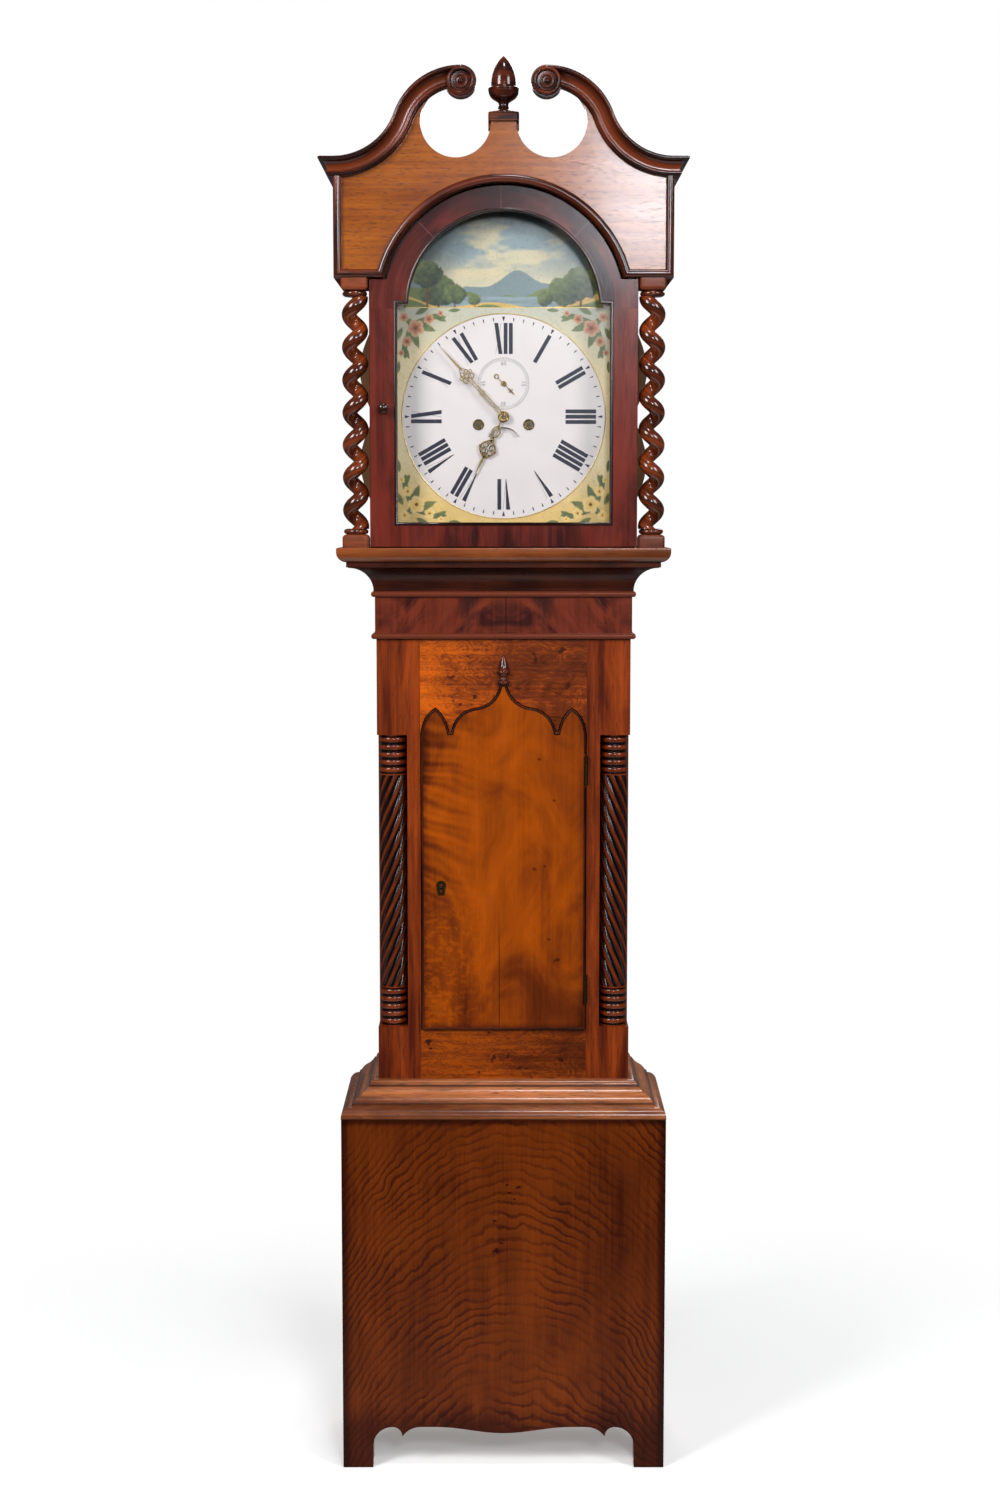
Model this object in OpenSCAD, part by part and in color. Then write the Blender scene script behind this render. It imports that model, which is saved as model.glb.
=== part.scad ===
// Longcase clock with a painted break-arch dial and an eight-day striking movement.
// Sizes are in millimetres. X runs across the front, Y runs towards the wall and Z runs up.
// The origin is on the floor, under the middle of the clock's box.
// Depths are measured forwards from the wall face of the backboard.

/* [Base] */
// Width of the base box
base_w = 526; // [500:1:550]
// Height of the base box over the floor
base_h = 584; // [540:1:640]
// Thickness of the base boards
base_t = 18; // [14:1:22]
// Height of the apron beside each foot
apron_h = 68.5; // [60:0.5:80]
// How far the middle of the apron hangs below its ends
apron_drop = 10.5; // [4:0.5:16]
// Width of each foot at the floor
foot_w = 49; // [44:1:60]
// Depth of each side foot at the floor
foot_d = 62; // [50:1:80]

/* [Trunk] */
// Width of the trunk
trunk_w = 409; // [400:1:415]
// Depth of the trunk, backboard included
trunk_d = 190; // [186:1:200]
// Height of the trunk between the plinth moulding and the lower bead
trunk_h = 721; // [700:1:760]
// Thickness of the trunk sides
side_t = 14; // [12:1:16]
// Thickness of the backboard
back_t = 12; // [9:1:14]
// Thickness of the trunk's rails
rail_t = 20; // [16:1:22]
// Width of the trunk door's opening
opening_w = 269; // [262:1:274]
// Depth of the corner posts
post_d = 60; // [58:1:64]
// Height of the square block under each corner column
post_foot_h = 86; // [70:1:100]
// Height of each corner column
post_recess_h = 480; // [460:1:490]
// Diameter of the corner columns over their rings
post_column_dia = 44; // [40:1:46]
// Height of the ring turnings at each end of a corner column
ring_band_h = 66; // [50:1:80]
// Number of rings at each end of a corner column
ring_count = 5; // [3:1:6]
// Number of rope strands
rope_starts = 9; // [7:1:11]
// Height in which a rope strand goes once round
rope_lead = 257; // [220:1:320]

/* [Trunk door] */
// Height of the rail below the door
bottom_rail_h = 81; // [70:1:90]
// Height of the door's opening to its square shoulders
opening_h = 487; // [470:1:500]
// Thickness of the trunk door
trunk_door_t = 20; // [17:1:22]
// Thickness of the door's shaped head, thinned at the back so that it swings clear
door_head_t = 11; // [8:1:11]
// How far the trunk door stands proud of the trunk
door_proud = 5; // [4:0.5:6]
// Gap round the trunk door
door_gap = 1.5; // [1:0.1:2]
// Height of each trunk door hinge
hinge_h = 47; // [40:1:60]
// Outer diameter of the hinge knuckles
knuckle_dia = 6.4; // [5.8:0.1:7]
// Diameter of the hinge pins
hinge_pin_dia = 2.6; // [2:0.1:3]
// Height of the keyhole over the bottom of the opening
lock_z = 236; // [200:1:280]
// Travel of the lock bolt
bolt_throw = 8; // [6:1:9]

/* [Mouldings] */
// How far the plinth moulding overhangs the base at each side
plinth_over = 0.5; // [0:0.5:2]
// Height of the plinth moulding
plinth_h = 54; // [48:1:60]
// Height of each bead on the frieze
bead_h = 9.5; // [8:0.5:11]
// Height of the frieze between its beads
frieze_h = 58; // [50:1:70]
// Thickness of the frieze veneer board
frieze_t = 2; // [1.5:0.5:3]
// Height of the throat's hollow
cavetto_h = 38; // [32:1:44]
// Height of the fillet over the hollow
fillet_h = 9; // [7:1:11]
// How far base and hood stand out in front of the trunk
projection = 59; // [57:1:62]

/* [Hood] */
// How far the tympanum's legs reach past the column blocks
leg_margin = 11; // [10:0.5:13]
// Thickness of the tympanum
tympanum_t = 14; // [12:1:16]
// How far the tympanum is set back from the hood's base moulding
tympanum_inset = 7; // [6:0.5:9]
// Gap between the trunk's cheeks and the hood that slides over them
hood_gap = 1.5; // [1:0.1:1.7]
// Thickness of the hood's sides
hood_side_t = 8; // [6:0.5:8.5]
// Height of the hood's base moulding
hood_base_h = 23; // [20:1:26]
// Height of the blocks under the twist columns
base_block_h = 21; // [18:1:26]
// Height of each twist column
twist_h = 380; // [370:1:390]
// Height of the capital blocks
capital_h = 19; // [16:1:24]
// Width of the column blocks
block_w = 42; // [38:1:42]
// Diameter of the strand of a twist column
strand_dia = 23.2; // [20:0.2:25]
// Distance of the strand from the column's axis
strand_off = 9.2; // [7:0.2:9.4]
// Height in which the strand goes once round
strand_lead = 50.9; // [46:0.1:60]
// Angle at which the strand starts at the foot of the left column
strand_start = 333; // [0:1:360]
// Height of the dial's centre over the bottom of the hood
dial_z = 230; // [226:1:234]
// Height of the arch's centre over the dial's centre
arch_rise = 166; // [164:1:168]
// Radius of the tympanum's arch
arch_r = 193; // [192:0.5:195]
// Width of the bead round the tympanum
bead_w = 13; // [10:1:14]
// Radius of the round openings beside the finial
circle_r = 55; // [50:1:56]
// Distance of the round openings from the middle
circle_x = 74.6; // [74:0.2:76]
// Height of the round openings' centres over the dial's arch centre
circle_z = 286; // [284:1:290]
// Height of the necks' crests over the arch centre
crest_z = 368; // [364:1:372]
// Height of the horns' top edges over the arch centre
horn_z = 231; // [229:1:234]
// Width of the neck moulding
neck_w = 31; // [28:1:33]
// How far the neck moulding stands out
neck_out = 22; // [18:1:24]
// Radius of the necks' upper curve
neck_r = 110; // [106:1:114]
// Distance of the necks' crests from the middle
crest_x = 66.5; // [66:0.5:68]
// Height of the finial over its block
finial_h = 85; // [75:1:95]

/* [Hood door] */
// Thickness of the hood door
hood_door_t = 22; // [20:0.5:23]
// How far each edge of the hood door is set in from the hood's side
hood_door_inset = 2; // [1.8:0.1:2.5]
// Width of the glass opening
sight_w = 334; // [328:1:338]
// Radius of the glass opening's arch
sight_r = 150; // [146:1:152]
// Gap over and under the hood door
hood_door_gap = 2; // [1.5:0.1:2.5]
// Thickness of the glass
glass_t = 2.5; // [2:0.5:3]
// Diameter of the hood door's pivot pins
pivot_dia = 3; // [2.6:0.1:3.2]
// Radial clearance of pins in their bores
pin_clearance = 0.06; // [0.04:0.01:0.09]

/* [Dial and movement] */
// Width of the painted dial
dial_w = 356; // [350:1:360]
// Thickness of the dial plate
dial_t = 2; // [1.6:0.2:2.4]
// Depth of the dial's face
dial_face = 196; // [194:1:197]
// Distance of each winding square from the middle
winding_x = 40; // [39:0.5:42]
// Drop of the winding squares below the hands
winding_drop = 12.5; // [11:0.5:14]
// Width of the winding squares
winding_sq = 5.2; // [4.8:0.1:5.6]
// Height of the seconds hand's arbor over the centre
seconds_z = 52; // [51:0.5:53]
// Length of the minute hand
minute_len = 150; // [140:1:156]
// Length of the hour hand
hour_len = 105; // [95:1:112]
// Length of the seconds hand
seconds_len = 25; // [20:1:30]
// Length of the pendulum from its bend to the middle of the bob
pendulum_len = 994; // [980:1:1000]
// Diameter of the pendulum bob
bob_dia = 110; // [100:1:120]
// Diameter of the weights
weight_dia = 56; // [48:1:56]
// Height of the weights
weight_h = 210; // [180:1:220]
// Radius of the line on the drums and pulleys
line_wrap_r = 22; // [21:0.5:22.5]
// Diameter of the gut line
gut_dia = 1.6; // [1.4:0.1:1.8]
// Fall of the weights from fully wound
weight_fall = 1120; // [1000:10:1130]

/* [Hidden] */
$fn = 64;

// Colours of the woods and metals
oak = "#b5763a";
mahogany = "#6e2a16";
dark_wood = "#3a1710";
pine = "#c9a56f";
brass = "#c9a24a";
steel = "#8d9196";
lead = "#5a5c60";

// Depths
base_d = trunk_d + projection;
tympanum_face = base_d - tympanum_inset;
tympanum_back = tympanum_face - tympanum_t;
rosette_disc_t = 6;
total_depth = tympanum_face + neck_out + rosette_disc_t;
carcass_back = back_t + 2;

// Widths
cheek_half = trunk_w / 2 - 2;
cheek_inner = trunk_w / 2 - side_t;
hood_inner = cheek_half + hood_gap;
hood_outer = hood_inner + hood_side_t;
hood_col_x = hood_outer + 0.5 + block_w / 2;
tympanum_w = 2 * (hood_col_x + block_w / 2 + leg_margin);
hood_door_w = 2 * (hood_outer - hood_door_inset);

// Heights
trunk_z = base_h + plinth_h;
opening_z = trunk_z + bottom_rail_h;
shoulder_z = opening_z + opening_h;
recess_z = trunk_z + post_foot_h;
recess_top = recess_z + post_recess_h;
bead_z = trunk_z + trunk_h;
frieze_z = bead_z + bead_h;
upper_bead_z = frieze_z + frieze_h;
cavetto_z = upper_bead_z + bead_h;
hood_z = cavetto_z + cavetto_h + fillet_h;
hood_floor = hood_z + hood_base_h;
twist_z = hood_floor + base_block_h;
capital_z = twist_z + twist_h;
leg_z = capital_z + capital_h;
centre_z = hood_z + dial_z;
arch_z = centre_z + arch_rise;

// Depth to the Y axis, and boxes given by their faces
function yy(d) = total_depth / 2 - d;

module slab(x0, x1, d0, d1, z0, z1) {
    translate([x0, yy(d1), z0]) cube([x1 - x0, d1 - d0, z1 - z0]);
}

// An outline drawn as seen from the front, from depth d0 forwards to d1
module front_plate(d0, d1) {
    translate([0, yy(d0), 0]) rotate([90, 0, 0]) linear_extrude(d1 - d0) children();
}

// An outline drawn as seen from the right side, in Y and Z, from x0 to x1
module side_plate(x0, x1) {
    translate([x0, 0, 0]) rotate([90, 0, 90]) linear_extrude(x1 - x0) children();
}

// A round bar along the depth
module rod(x, z, r, d0, d1) {
    translate([x, yy(d0), z]) rotate([90, 0, 0]) cylinder(r = r, h = d1 - d0);
}

// A turned piece whose axis runs forwards from depth d0
module turned_forward(x, z, d0) {
    translate([x, yy(d0), z]) rotate([90, 0, 0]) rotate_extrude() children();
}

module mirrored() {
    children();
    mirror([1, 0, 0]) children();
}

// Points on an arc from angle a0 to a1 in n steps
function arc(cx, cy, r, a0, a1, n = 8) =
    [for (i = [0:n]) let (a = a0 + (a1 - a0) * i / n) [cx + r * cos(a), cy + r * sin(a)]];

// Points on a quarter of an ellipse or any part of it
function oval(cx, cy, rx, ry, a0, a1, n = 8) =
    [for (i = [0:n]) let (a = a0 + (a1 - a0) * i / n) [cx + rx * cos(a), cy + ry * sin(a)]];

// Points on a curve from p to r, pulled towards q
function bend(p, q, r, n = 6) =
    [for (i = [0:n]) let (t = i / n) p * (1 - t) * (1 - t) + q * 2 * t * (1 - t) + r * t * t];

function rest(list) = [for (i = [1:len(list) - 1]) list[i]];
function reversed(list) = [for (i = [len(list) - 1:-1:0]) list[i]];
function flipped(list) = [for (p = list) [-p[0], p[1]]];

// An open chain moved sideways by e, to the right of its direction
function inset(pts, e) = [
    for (i = [0:len(pts) - 1])
        let (a = pts[max(i - 1, 0)], b = pts[min(i + 1, len(pts) - 1)], l = norm(b - a))
        pts[i] + e * [b[1] - a[1], a[0] - b[0]] / l
];

// Faces of a closed tube of rings, each of n points, with flat ends
function tube_faces(rings, n) = concat(
    [[for (j = [0:n - 1]) j]],
    [for (i = [0:rings - 2], j = [0:n - 1])
        let (k = (j + 1) % n) [i * n + j, (i + 1) * n + j, (i + 1) * n + k, i * n + k]],
    [[for (j = [n - 1:-1:0]) (rings - 1) * n + j]]
);

// A section carried up to height h in even steps while it turns by angle
module wound(section, h, angle, steps) {
    points = [for (i = [0:steps], p = section)
        let (a = angle * i / steps)
        [p[0] * cos(a) - p[1] * sin(a), p[0] * sin(a) + p[1] * cos(a), h * i / steps]];
    polyhedron(points, tube_faces(steps + 1, len(section)));
}

// A moulding round the front and both sides with mitred corners.
// The profile lists [projection, height] from the bottom outwards and up.
// At the sides it projects side times as far as at the front.
module u_moulding(profile, half_w, front, back, side = 1) {
    stations = [[-1, back, false], [-1, front, true], [1, front, true], [1, back, false]];
    points = [for (s = stations, p = profile)
        [s[0] * (half_w + side * p[0]), yy(s[1] + (s[2] ? p[0] : 0)), p[1]]];
    polyhedron(points, [for (f = tube_faces(len(stations), len(profile))) reversed(f)]);
}

// A U-shaped plate seen from above
module u_plate(half_in, half_out, front_in, front_out, back, z0, z1) {
    difference() {
        slab(-half_out, half_out, back, front_out, z0, z1);
        slab(-half_in, half_in, back - 1, front_in, z0 - 1, z1 + 1);
    }
}

// Case

ear_in = trunk_w / 2 + 11.5;
ear_out = ear_in + 23;
ear_lobe_h = 152;
ear_z = hood_floor + 62;
back_top = arch_z + arch_r;
seat_z = centre_z - 81;
seat_t = 18;

// The backboard's edge at hood height: two rounded lobes
function ear_edge() = [
    for (i = [0:24])
        let (t = i / 24, lobe = abs(sin(360 * t)))
        [ear_in + (ear_out - ear_in) * lobe, ear_z + 2 * ear_lobe_h * t]
];

module backboard() {
    half = concat(
        [[base_w / 2 - base_t, apron_h + base_t], [base_w / 2 - base_t, base_h - base_t],
         [trunk_w / 2, base_h - base_t], [trunk_w / 2, ear_z]],
        ear_edge(),
        [[ear_in, leg_z], [cheek_half, leg_z], [cheek_half, back_top]]
    );
    color(pine) front_plate(0, back_t) polygon(concat(half, reversed(flipped(half))));
}

// The apron's lower edge from the left foot to the middle
foot_curve_r = 32;
cusp_curve_r = 16;
wave_curve_r = 36.1;
wave_flat = 26;
function apron_half() =
    let (x0 = -base_w / 2 + foot_w, top = apron_h, x1 = x0 + foot_curve_r,
         cusp = x1 + cusp_curve_r, x2 = cusp + wave_curve_r * cos(33.7), x3 = x2 + wave_flat)
    concat(
        [[x0, 0]],
        reversed(arc(x1, top - foot_curve_r, foot_curve_r, 90, 180)),
        reversed(arc(x1, top - cusp_curve_r, cusp_curve_r, 0, 80, 5)),
        arc(x2, top - wave_curve_r, wave_curve_r, 180 - 33.7, 90, 5),
        [for (i = [0:8]) let (t = i / 8) [x3 * (1 - t), top - apron_drop * (1 - cos(180 * t)) / 2]]
    );

module base_front_panel() {
    half = concat([[-base_w / 2, base_h], [-base_w / 2, 0]], apron_half());
    color(oak) front_plate(base_d - base_t, base_d)
        polygon(concat(half, reversed(flipped(half))));
}

module base_sides() {
    front = base_d - base_t;
    r = foot_curve_r;
    outline = concat(
        [[0, base_h], [0, 0], [foot_d, 0]],
        arc(foot_d + r, apron_h - r, r, 180, 90),
        arc(front - foot_d - r, apron_h - r, r, 90, 0),
        [[front - foot_d, 0], [front, 0], [front, base_h]]
    );
    color(oak) mirrored() side_plate(base_w / 2 - base_t, base_w / 2)
        polygon([for (p = outline) [yy(p[0]), p[1]]]);
}

// Bottom board, top frame round the trunk, and glue blocks behind the feet
module base_inner_frame() {
    inner = base_w / 2 - base_t;
    front = base_d - base_t;
    block = 30;
    color(pine) {
        slab(-inner, inner, back_t, front, apron_h + 2, apron_h + base_t);
        u_plate(trunk_w / 2, inner, trunk_d, front, back_t, base_h - base_t, base_h);
        mirrored() {
            slab(inner - block, inner, front - block, front, 0, apron_h + 2);
            slab(inner - block, inner, back_t, back_t + block, 0, apron_h + 2);
        }
    }
}

// Quarter round, wave and quarter round of the plinth moulding, from the base to the trunk
module plinth_moulding() {
    p = projection;
    z = base_h;
    k = plinth_h / 54; // the profile is drawn 54 high
    side = (base_w / 2 + plinth_over - trunk_w / 2) / p;
    color(oak) u_moulding(concat(
        [[0, z], [p, z]],
        oval(p - 17, z + 3 * k, 17, 15 * k, 0, 90, 7),
        [[p - 17, z + 22 * k]],
        oval(p - 30.5, z + 22 * k, 11.5, 11 * k, 0, 90, 6),
        oval(p - 30.5, z + 44 * k, 11.5, 11 * k, 264, 180, 6),
        [[p - 45, z + 45 * k]],
        oval(p - 54, z + 45 * k, 9, 9 * k, 10, 90, 5),
        [[0, z + plinth_h]]
    ), trunk_w / 2, trunk_d, 0, side);
}

module trunk_sides() {
    low = base_h - base_t;
    color(oak) mirrored() {
        slab(cheek_inner, trunk_w / 2, back_t, trunk_d - post_d, low, hood_z);
        slab(cheek_inner, cheek_half, back_t, trunk_d - post_d, hood_z, seat_z);
    }
}

column_x = trunk_w / 2 - post_column_dia / 2 - 2.5;
column_d = trunk_d - post_column_dia / 2 - 1;
column_gap = 2;

module corner_posts() {
    recess_in = column_x - post_column_dia / 2 - column_gap;
    recess_back = column_d - post_column_dia / 2 - column_gap;
    bolt_z = opening_z + lock_z;
    color(mahogany) difference() {
        mirrored() difference() {
            slab(opening_w / 2, trunk_w / 2, trunk_d - post_d, trunk_d, base_h - base_t, hood_z);
            slab(recess_in, trunk_w / 2 + 1, recess_back, trunk_d + 1, recess_z, recess_top);
        }
        slab(-opening_w / 2 - bolt_throw - 1, -opening_w / 2 + 1,
            bolt_d0 - 0.4, bolt_d1 + 0.4, bolt_z - bolt_h / 2 - 0.4, bolt_z + bolt_h / 2 + 0.4);
    }
}

// The pointed head of the door's opening, right half, from the shoulder to the middle.
// Two side points, a cusp, and an ogee that rises to a narrow neck.
head_peak = [109.8, 43];
head_cusp = [87.4, 3];
head_foot = [85, 3];
head_turn = [38, 44];
head_neck = [5.8, 79];
function head_right() =
    let (edge = opening_w / 2)
    concat(
        bend([edge, 0], [edge - 3, 30], head_peak),
        rest(bend(head_peak, [93, 30], head_cusp)),
        bend(head_foot, [78, 40], head_turn),
        rest(bend(head_turn, [13, 51], head_neck))
    );

// The whole opening, e smaller on every side
function opening_outline(e) =
    let (right = inset(concat([[opening_w / 2, -opening_h]], head_right()), -e),
         last = len(right) - 1,
         lifted = [for (i = [0:last])
            right[i] + [0, shoulder_z + (i == 0 ? e : i == last ? -e : 0)]])
    concat(lifted, reversed(flipped(lifted)));

module trunk_top_rail() {
    top = hood_z;
    color(oak) front_plate(trunk_d - rail_t, trunk_d) difference() {
        translate([-opening_w / 2, shoulder_z]) square([opening_w, top - shoulder_z]);
        polygon(opening_outline(0));
    }
}

module trunk_bottom_rail() {
    color(oak) slab(-opening_w / 2, opening_w / 2, trunk_d - rail_t, trunk_d,
        base_h - base_t, opening_z);
}

// Turned rings stacked from z = 0 up to h, between two flat collars
module ring_band(h, r) {
    collar = 2.4;
    pitch = (h - 2 * collar) / ring_count;
    neck = r - 3.2;
    ring_r = pitch * 0.38;
    color(dark_wood) rotate_extrude() polygon(concat(
        [[0, 0], [r, 0], [r, collar], [neck, collar]],
        [for (i = [0:ring_count - 1],
            p = oval(neck, collar + pitch * (i + 0.5), r - neck, ring_r, -90, 90, 6)) p],
        [[neck, h - collar], [r, h - collar], [r, h], [0, h]]
    ));
}

module trunk_columns() {
    r = post_column_dia / 2;
    rope_h = post_recess_h - 2 * ring_band_h;
    valley = 3.4;
    sink = 0.5;
    lobe_steps = 4;
    n = rope_starts * lobe_steps;
    outline = [for (i = [0:n - 1])
        let (a = 360 * i / n, t = (i % lobe_steps) / lobe_steps)
        (r - 0.6 - valley * (1 - sin(180 * t))) * [cos(a), sin(a)]];
    color(dark_wood) mirrored() translate([column_x, yy(column_d), recess_z]) {
        ring_band(ring_band_h, r);
        translate([0, 0, ring_band_h - sink])
            wound(outline, rope_h + 2 * sink, -360 * rope_h / rope_lead, 24);
        translate([0, 0, post_recess_h - ring_band_h]) ring_band(ring_band_h, r);
    }
}

// Small acorn on the rail over the door, flat against the wood
module door_head_finial() {
    z = shoulder_z + head_neck[1];
    profile = concat(
        [[0, 0], [9, 0], [9, 9], [6, 12], [4, 14], [4, 20], [7, 23], [10.5, 26], [10.5, 29]],
        oval(0, 29, 9, 22, 8, 90, 8)
    );
    color(dark_wood) intersection() {
        translate([0, yy(trunk_d), z]) rotate_extrude() polygon(profile);
        slab(-20, 20, trunk_d, trunk_d + 20, z - 1, z + 80);
    }
}

module frieze_panel() {
    half = trunk_w / 2;
    color(mahogany) u_plate(half, half + frieze_t, trunk_d, trunk_d + frieze_t, 0, frieze_z, upper_bead_z);
}

// Half-round bead as [projection, height], from its bottom
function bead_profile(z, h, out) =
    concat([[0, z]], oval(out - h / 2, z + h / 2, h / 2, h / 2, -90, 90, 8));

module throat_moulding() {
    half = trunk_w / 2;
    out = projection - 17;
    top = cavetto_z + cavetto_h;
    color(dark_wood) {
        u_moulding(concat(bead_profile(bead_z, bead_h, 8), [[0, frieze_z]]), half, trunk_d, 0);
        u_moulding(concat(
            bead_profile(upper_bead_z, bead_h, 8),
            oval(out, cavetto_z, out - 4, cavetto_h, 180, 90, 10),
            [[out, top + 1], [out + 3, top + 1], [out + 3, hood_z], [0, hood_z]]
        ), half, trunk_d, 0);
    }
}

line_near = winding_x + line_wrap_r;
line_far = line_near + 2 * line_wrap_r;
drum_d = 126;

module seat_board() {
    slot = 14;
    color(pine) difference() {
        slab(-cheek_half, cheek_half, rod_d + 12, trunk_d - 12, seat_z, seat_z + seat_t);
        mirrored() {
            slab(line_near - slot / 2, line_near + slot / 2, drum_d - slot, drum_d + slot,
                seat_z - 1, seat_z + seat_t + 1);
            translate([line_far, yy(drum_d), seat_z - 1]) cylinder(d = gut_dia + 1.4, h = seat_t + 2);
        }
    }
}

// Hinges of the trunk door: the axis lies on the gap, level with the door's face
hinge_x = (opening_w - door_gap) / 2;
hinge_d = trunk_d + door_proud;
hinge_zs = [opening_z + 45, opening_z + opening_h - hinge_h - 36];
leaf_t = door_gap / 2 - 0.05;
leaf_d = 17;
knuckle_count = 5;

module knuckle(z, h) {
    translate([hinge_x, yy(hinge_d), z]) cylinder(d = knuckle_dia, h = h);
}

// One leaf with its knuckles: the even ones or the odd ones
module hinge_leaf(z, odd, x0, x1) {
    step = hinge_h / knuckle_count;
    gap = 0.2;
    for (i = [odd ? 1 : 0:2:knuckle_count - 1]) {
        knuckle(z + i * step + gap, step - 2 * gap);
        slab(x0, x1, hinge_d - knuckle_dia / 2 - 0.6, hinge_d, z + i * step + gap, z + (i + 1) * step - gap);
    }
    slab(x0, x1, hinge_d - leaf_d, hinge_d - knuckle_dia / 2 - 0.5, z, z + hinge_h);
}

module case_hinge_leaves() {
    color(brass) for (z = hinge_zs) {
        difference() {
            hinge_leaf(z, false, hinge_x + 0.05, hinge_x + 0.05 + leaf_t);
            translate([hinge_x, yy(hinge_d), z - 1]) cylinder(d = hinge_pin_dia, h = hinge_h + 2);
        }
        translate([hinge_x, yy(hinge_d), z - 1]) cylinder(d = hinge_pin_dia, h = hinge_h + 2);
    }
}

module door_hinge_leaves() {
    color(brass) for (z = hinge_zs) difference() {
        hinge_leaf(z, true, hinge_x - 0.05 - leaf_t, hinge_x - 0.05);
        translate([hinge_x, yy(hinge_d), z - 1])
            cylinder(r = hinge_pin_dia / 2 + pin_clearance, h = hinge_h + 2);
    }
}

lock_x = -opening_w / 2 + 33;
lock_w = 58;
lock_h = 46;
lock_t = 9;
bolt_h = 16;
bolt_t = 4;
door_back = trunk_d + door_proud - trunk_door_t;
bolt_d1 = door_back - 1.5;
bolt_d0 = bolt_d1 - bolt_t;

module trunk_door() {
    color(oak) difference() {
        front_plate(door_back, trunk_d + door_proud) polygon(opening_outline(door_gap));
        for (z = hinge_zs) {
            translate([hinge_x, yy(hinge_d), z - 1.5]) cylinder(d = knuckle_dia + 0.8, h = hinge_h + 3);
        }
        rod(lock_x, opening_z + lock_z, 4, door_back - 1, trunk_d + door_proud + 1);
        slab(-opening_w / 2, opening_w / 2, door_back - 1, trunk_d + door_proud - door_head_t,
            shoulder_z - 4, shoulder_z + head_neck[1] + 1);
    }
}

// Lock case on the back of the door and keyhole plate on its face
module door_lock() {
    z = opening_z + lock_z;
    x0 = -opening_w / 2 + door_gap + 0.5;
    clear = 0.3;
    color(steel) difference() {
        slab(x0, x0 + lock_w, door_back - lock_t, door_back, z - lock_h / 2, z + lock_h / 2);
        slab(x0 - 1, x0 + lock_w - 6, bolt_d0 - clear, bolt_d1 + clear,
            z - bolt_h / 2 - clear, z + bolt_h / 2 + clear);
    }
    face = trunk_d + door_proud;
    color(brass) difference() {
        union() {
            rod(lock_x, z + 4, 8, face, face + 1.2);
            front_plate(face, face + 1.2) polygon([[lock_x - 7.5, z + 2], [lock_x + 7.5, z + 2],
                [lock_x + 5, z - 12], [lock_x - 5, z - 12]]);
        }
        rod(lock_x, z + 4, 2.4, face - 1, face + 2);
        slab(lock_x - 1.2, lock_x + 1.2, face - 1, face + 2, z - 7, z + 4);
    }
}

module lock_bolt() {
    z = opening_z + lock_z;
    x0 = -opening_w / 2 + door_gap + 0.5;
    color(brass) slab(x0, x0 + lock_w - 6 - bolt_throw, bolt_d0, bolt_d1, z - bolt_h / 2, z + bolt_h / 2);
}

// Hood

rail_in_d = trunk_d - 1.3;
rail_out = base_d - rail_in_d;
pivot_x = hood_door_w / 2 - 1;
door_face = tympanum_face - 2;
pivot_d = door_face - 2.5;
pivot_len = 10;
hood_col_d = base_d - 24;

module hood_pivot_bore(z, h) {
    translate([pivot_x, yy(pivot_d), z]) cylinder(r = pivot_dia / 2 + pin_clearance, h = h);
}

// The frame that slides on the throat moulding, with a rounded upper edge
module hood_base_frame() {
    r = hood_base_h - 7;
    ease = 1.5;
    color(oak) difference() {
        u_moulding(concat(
            [[0, hood_z], [rail_out - r, hood_z]],
            arc(rail_out - r, hood_z + r, r, -84, 0, 8),
            [[rail_out, hood_floor - ease], [rail_out - ease, hood_floor], [0, hood_floor]]
        ), hood_inner, rail_in_d, carcass_back);
        hood_pivot_bore(hood_floor - pivot_len, pivot_len + 1);
    }
}

module hood_sides() {
    color(oak) mirrored() slab(hood_inner, hood_outer, carcass_back, door_face - hood_door_t - 2,
        hood_floor, leg_z);
}

roof_t = 8;
upper_side_t = 10;
roof_top = arch_z + horn_z - 10;

// The wide upper box: soffits over the columns, sides and roof board
module hood_top_box() {
    half = tympanum_w / 2;
    color(oak) {
        mirrored() {
            slab(half - upper_side_t, half, carcass_back, tympanum_back, leg_z, roof_top);
            slab(hood_inner, half - upper_side_t, carcass_back, tympanum_back, leg_z, leg_z + 10);
        }
        slab(-half + upper_side_t, half - upper_side_t, carcass_back, tympanum_back,
            roof_top - roof_t, roof_top);
    }
}

mask_t = 7;
mask_face = door_face - hood_door_t - 12;
sight_bottom = centre_z - 167;
sight_top = arch_z + 7;

// Rectangle with an arch on it, e larger than the glass opening on every side
module arched_outline(e) {
    union() {
        translate([-sight_w / 2 - e, sight_bottom - e])
            square([sight_w + 2 * e, sight_top - sight_bottom + 2 * e]);
        intersection() {
            translate([0, arch_z]) circle(r = sight_r + e, $fn = 96);
            translate([-sight_r - e, arch_z]) square([2 * (sight_r + e), sight_r + e + 1]);
        }
    }
}

module dial_mask() {
    color(dark_wood) front_plate(mask_face - mask_t, mask_face) difference() {
        translate([-hood_inner, hood_floor]) square([2 * hood_inner, roof_top - roof_t - hood_floor]);
        arched_outline(4);
    }
}

// The two arcs of each neck's upper edge meet where they touch
horn_top = arch_z + horn_z;
crest_top = arch_z + crest_z;
crest_c = [crest_x, crest_top - neck_r];
horn_x = tympanum_w / 2 - 2;
neck_dx = horn_x - crest_x;
neck_k = crest_c[1] - horn_top;
horn_r = (pow(neck_dx, 2) + pow(neck_k, 2) - pow(neck_r, 2)) / (2 * (neck_r + neck_k));
horn_c = [horn_x, horn_top + horn_r];
neck_turn = atan2(horn_c[1] - crest_c[1], neck_dx);

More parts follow.
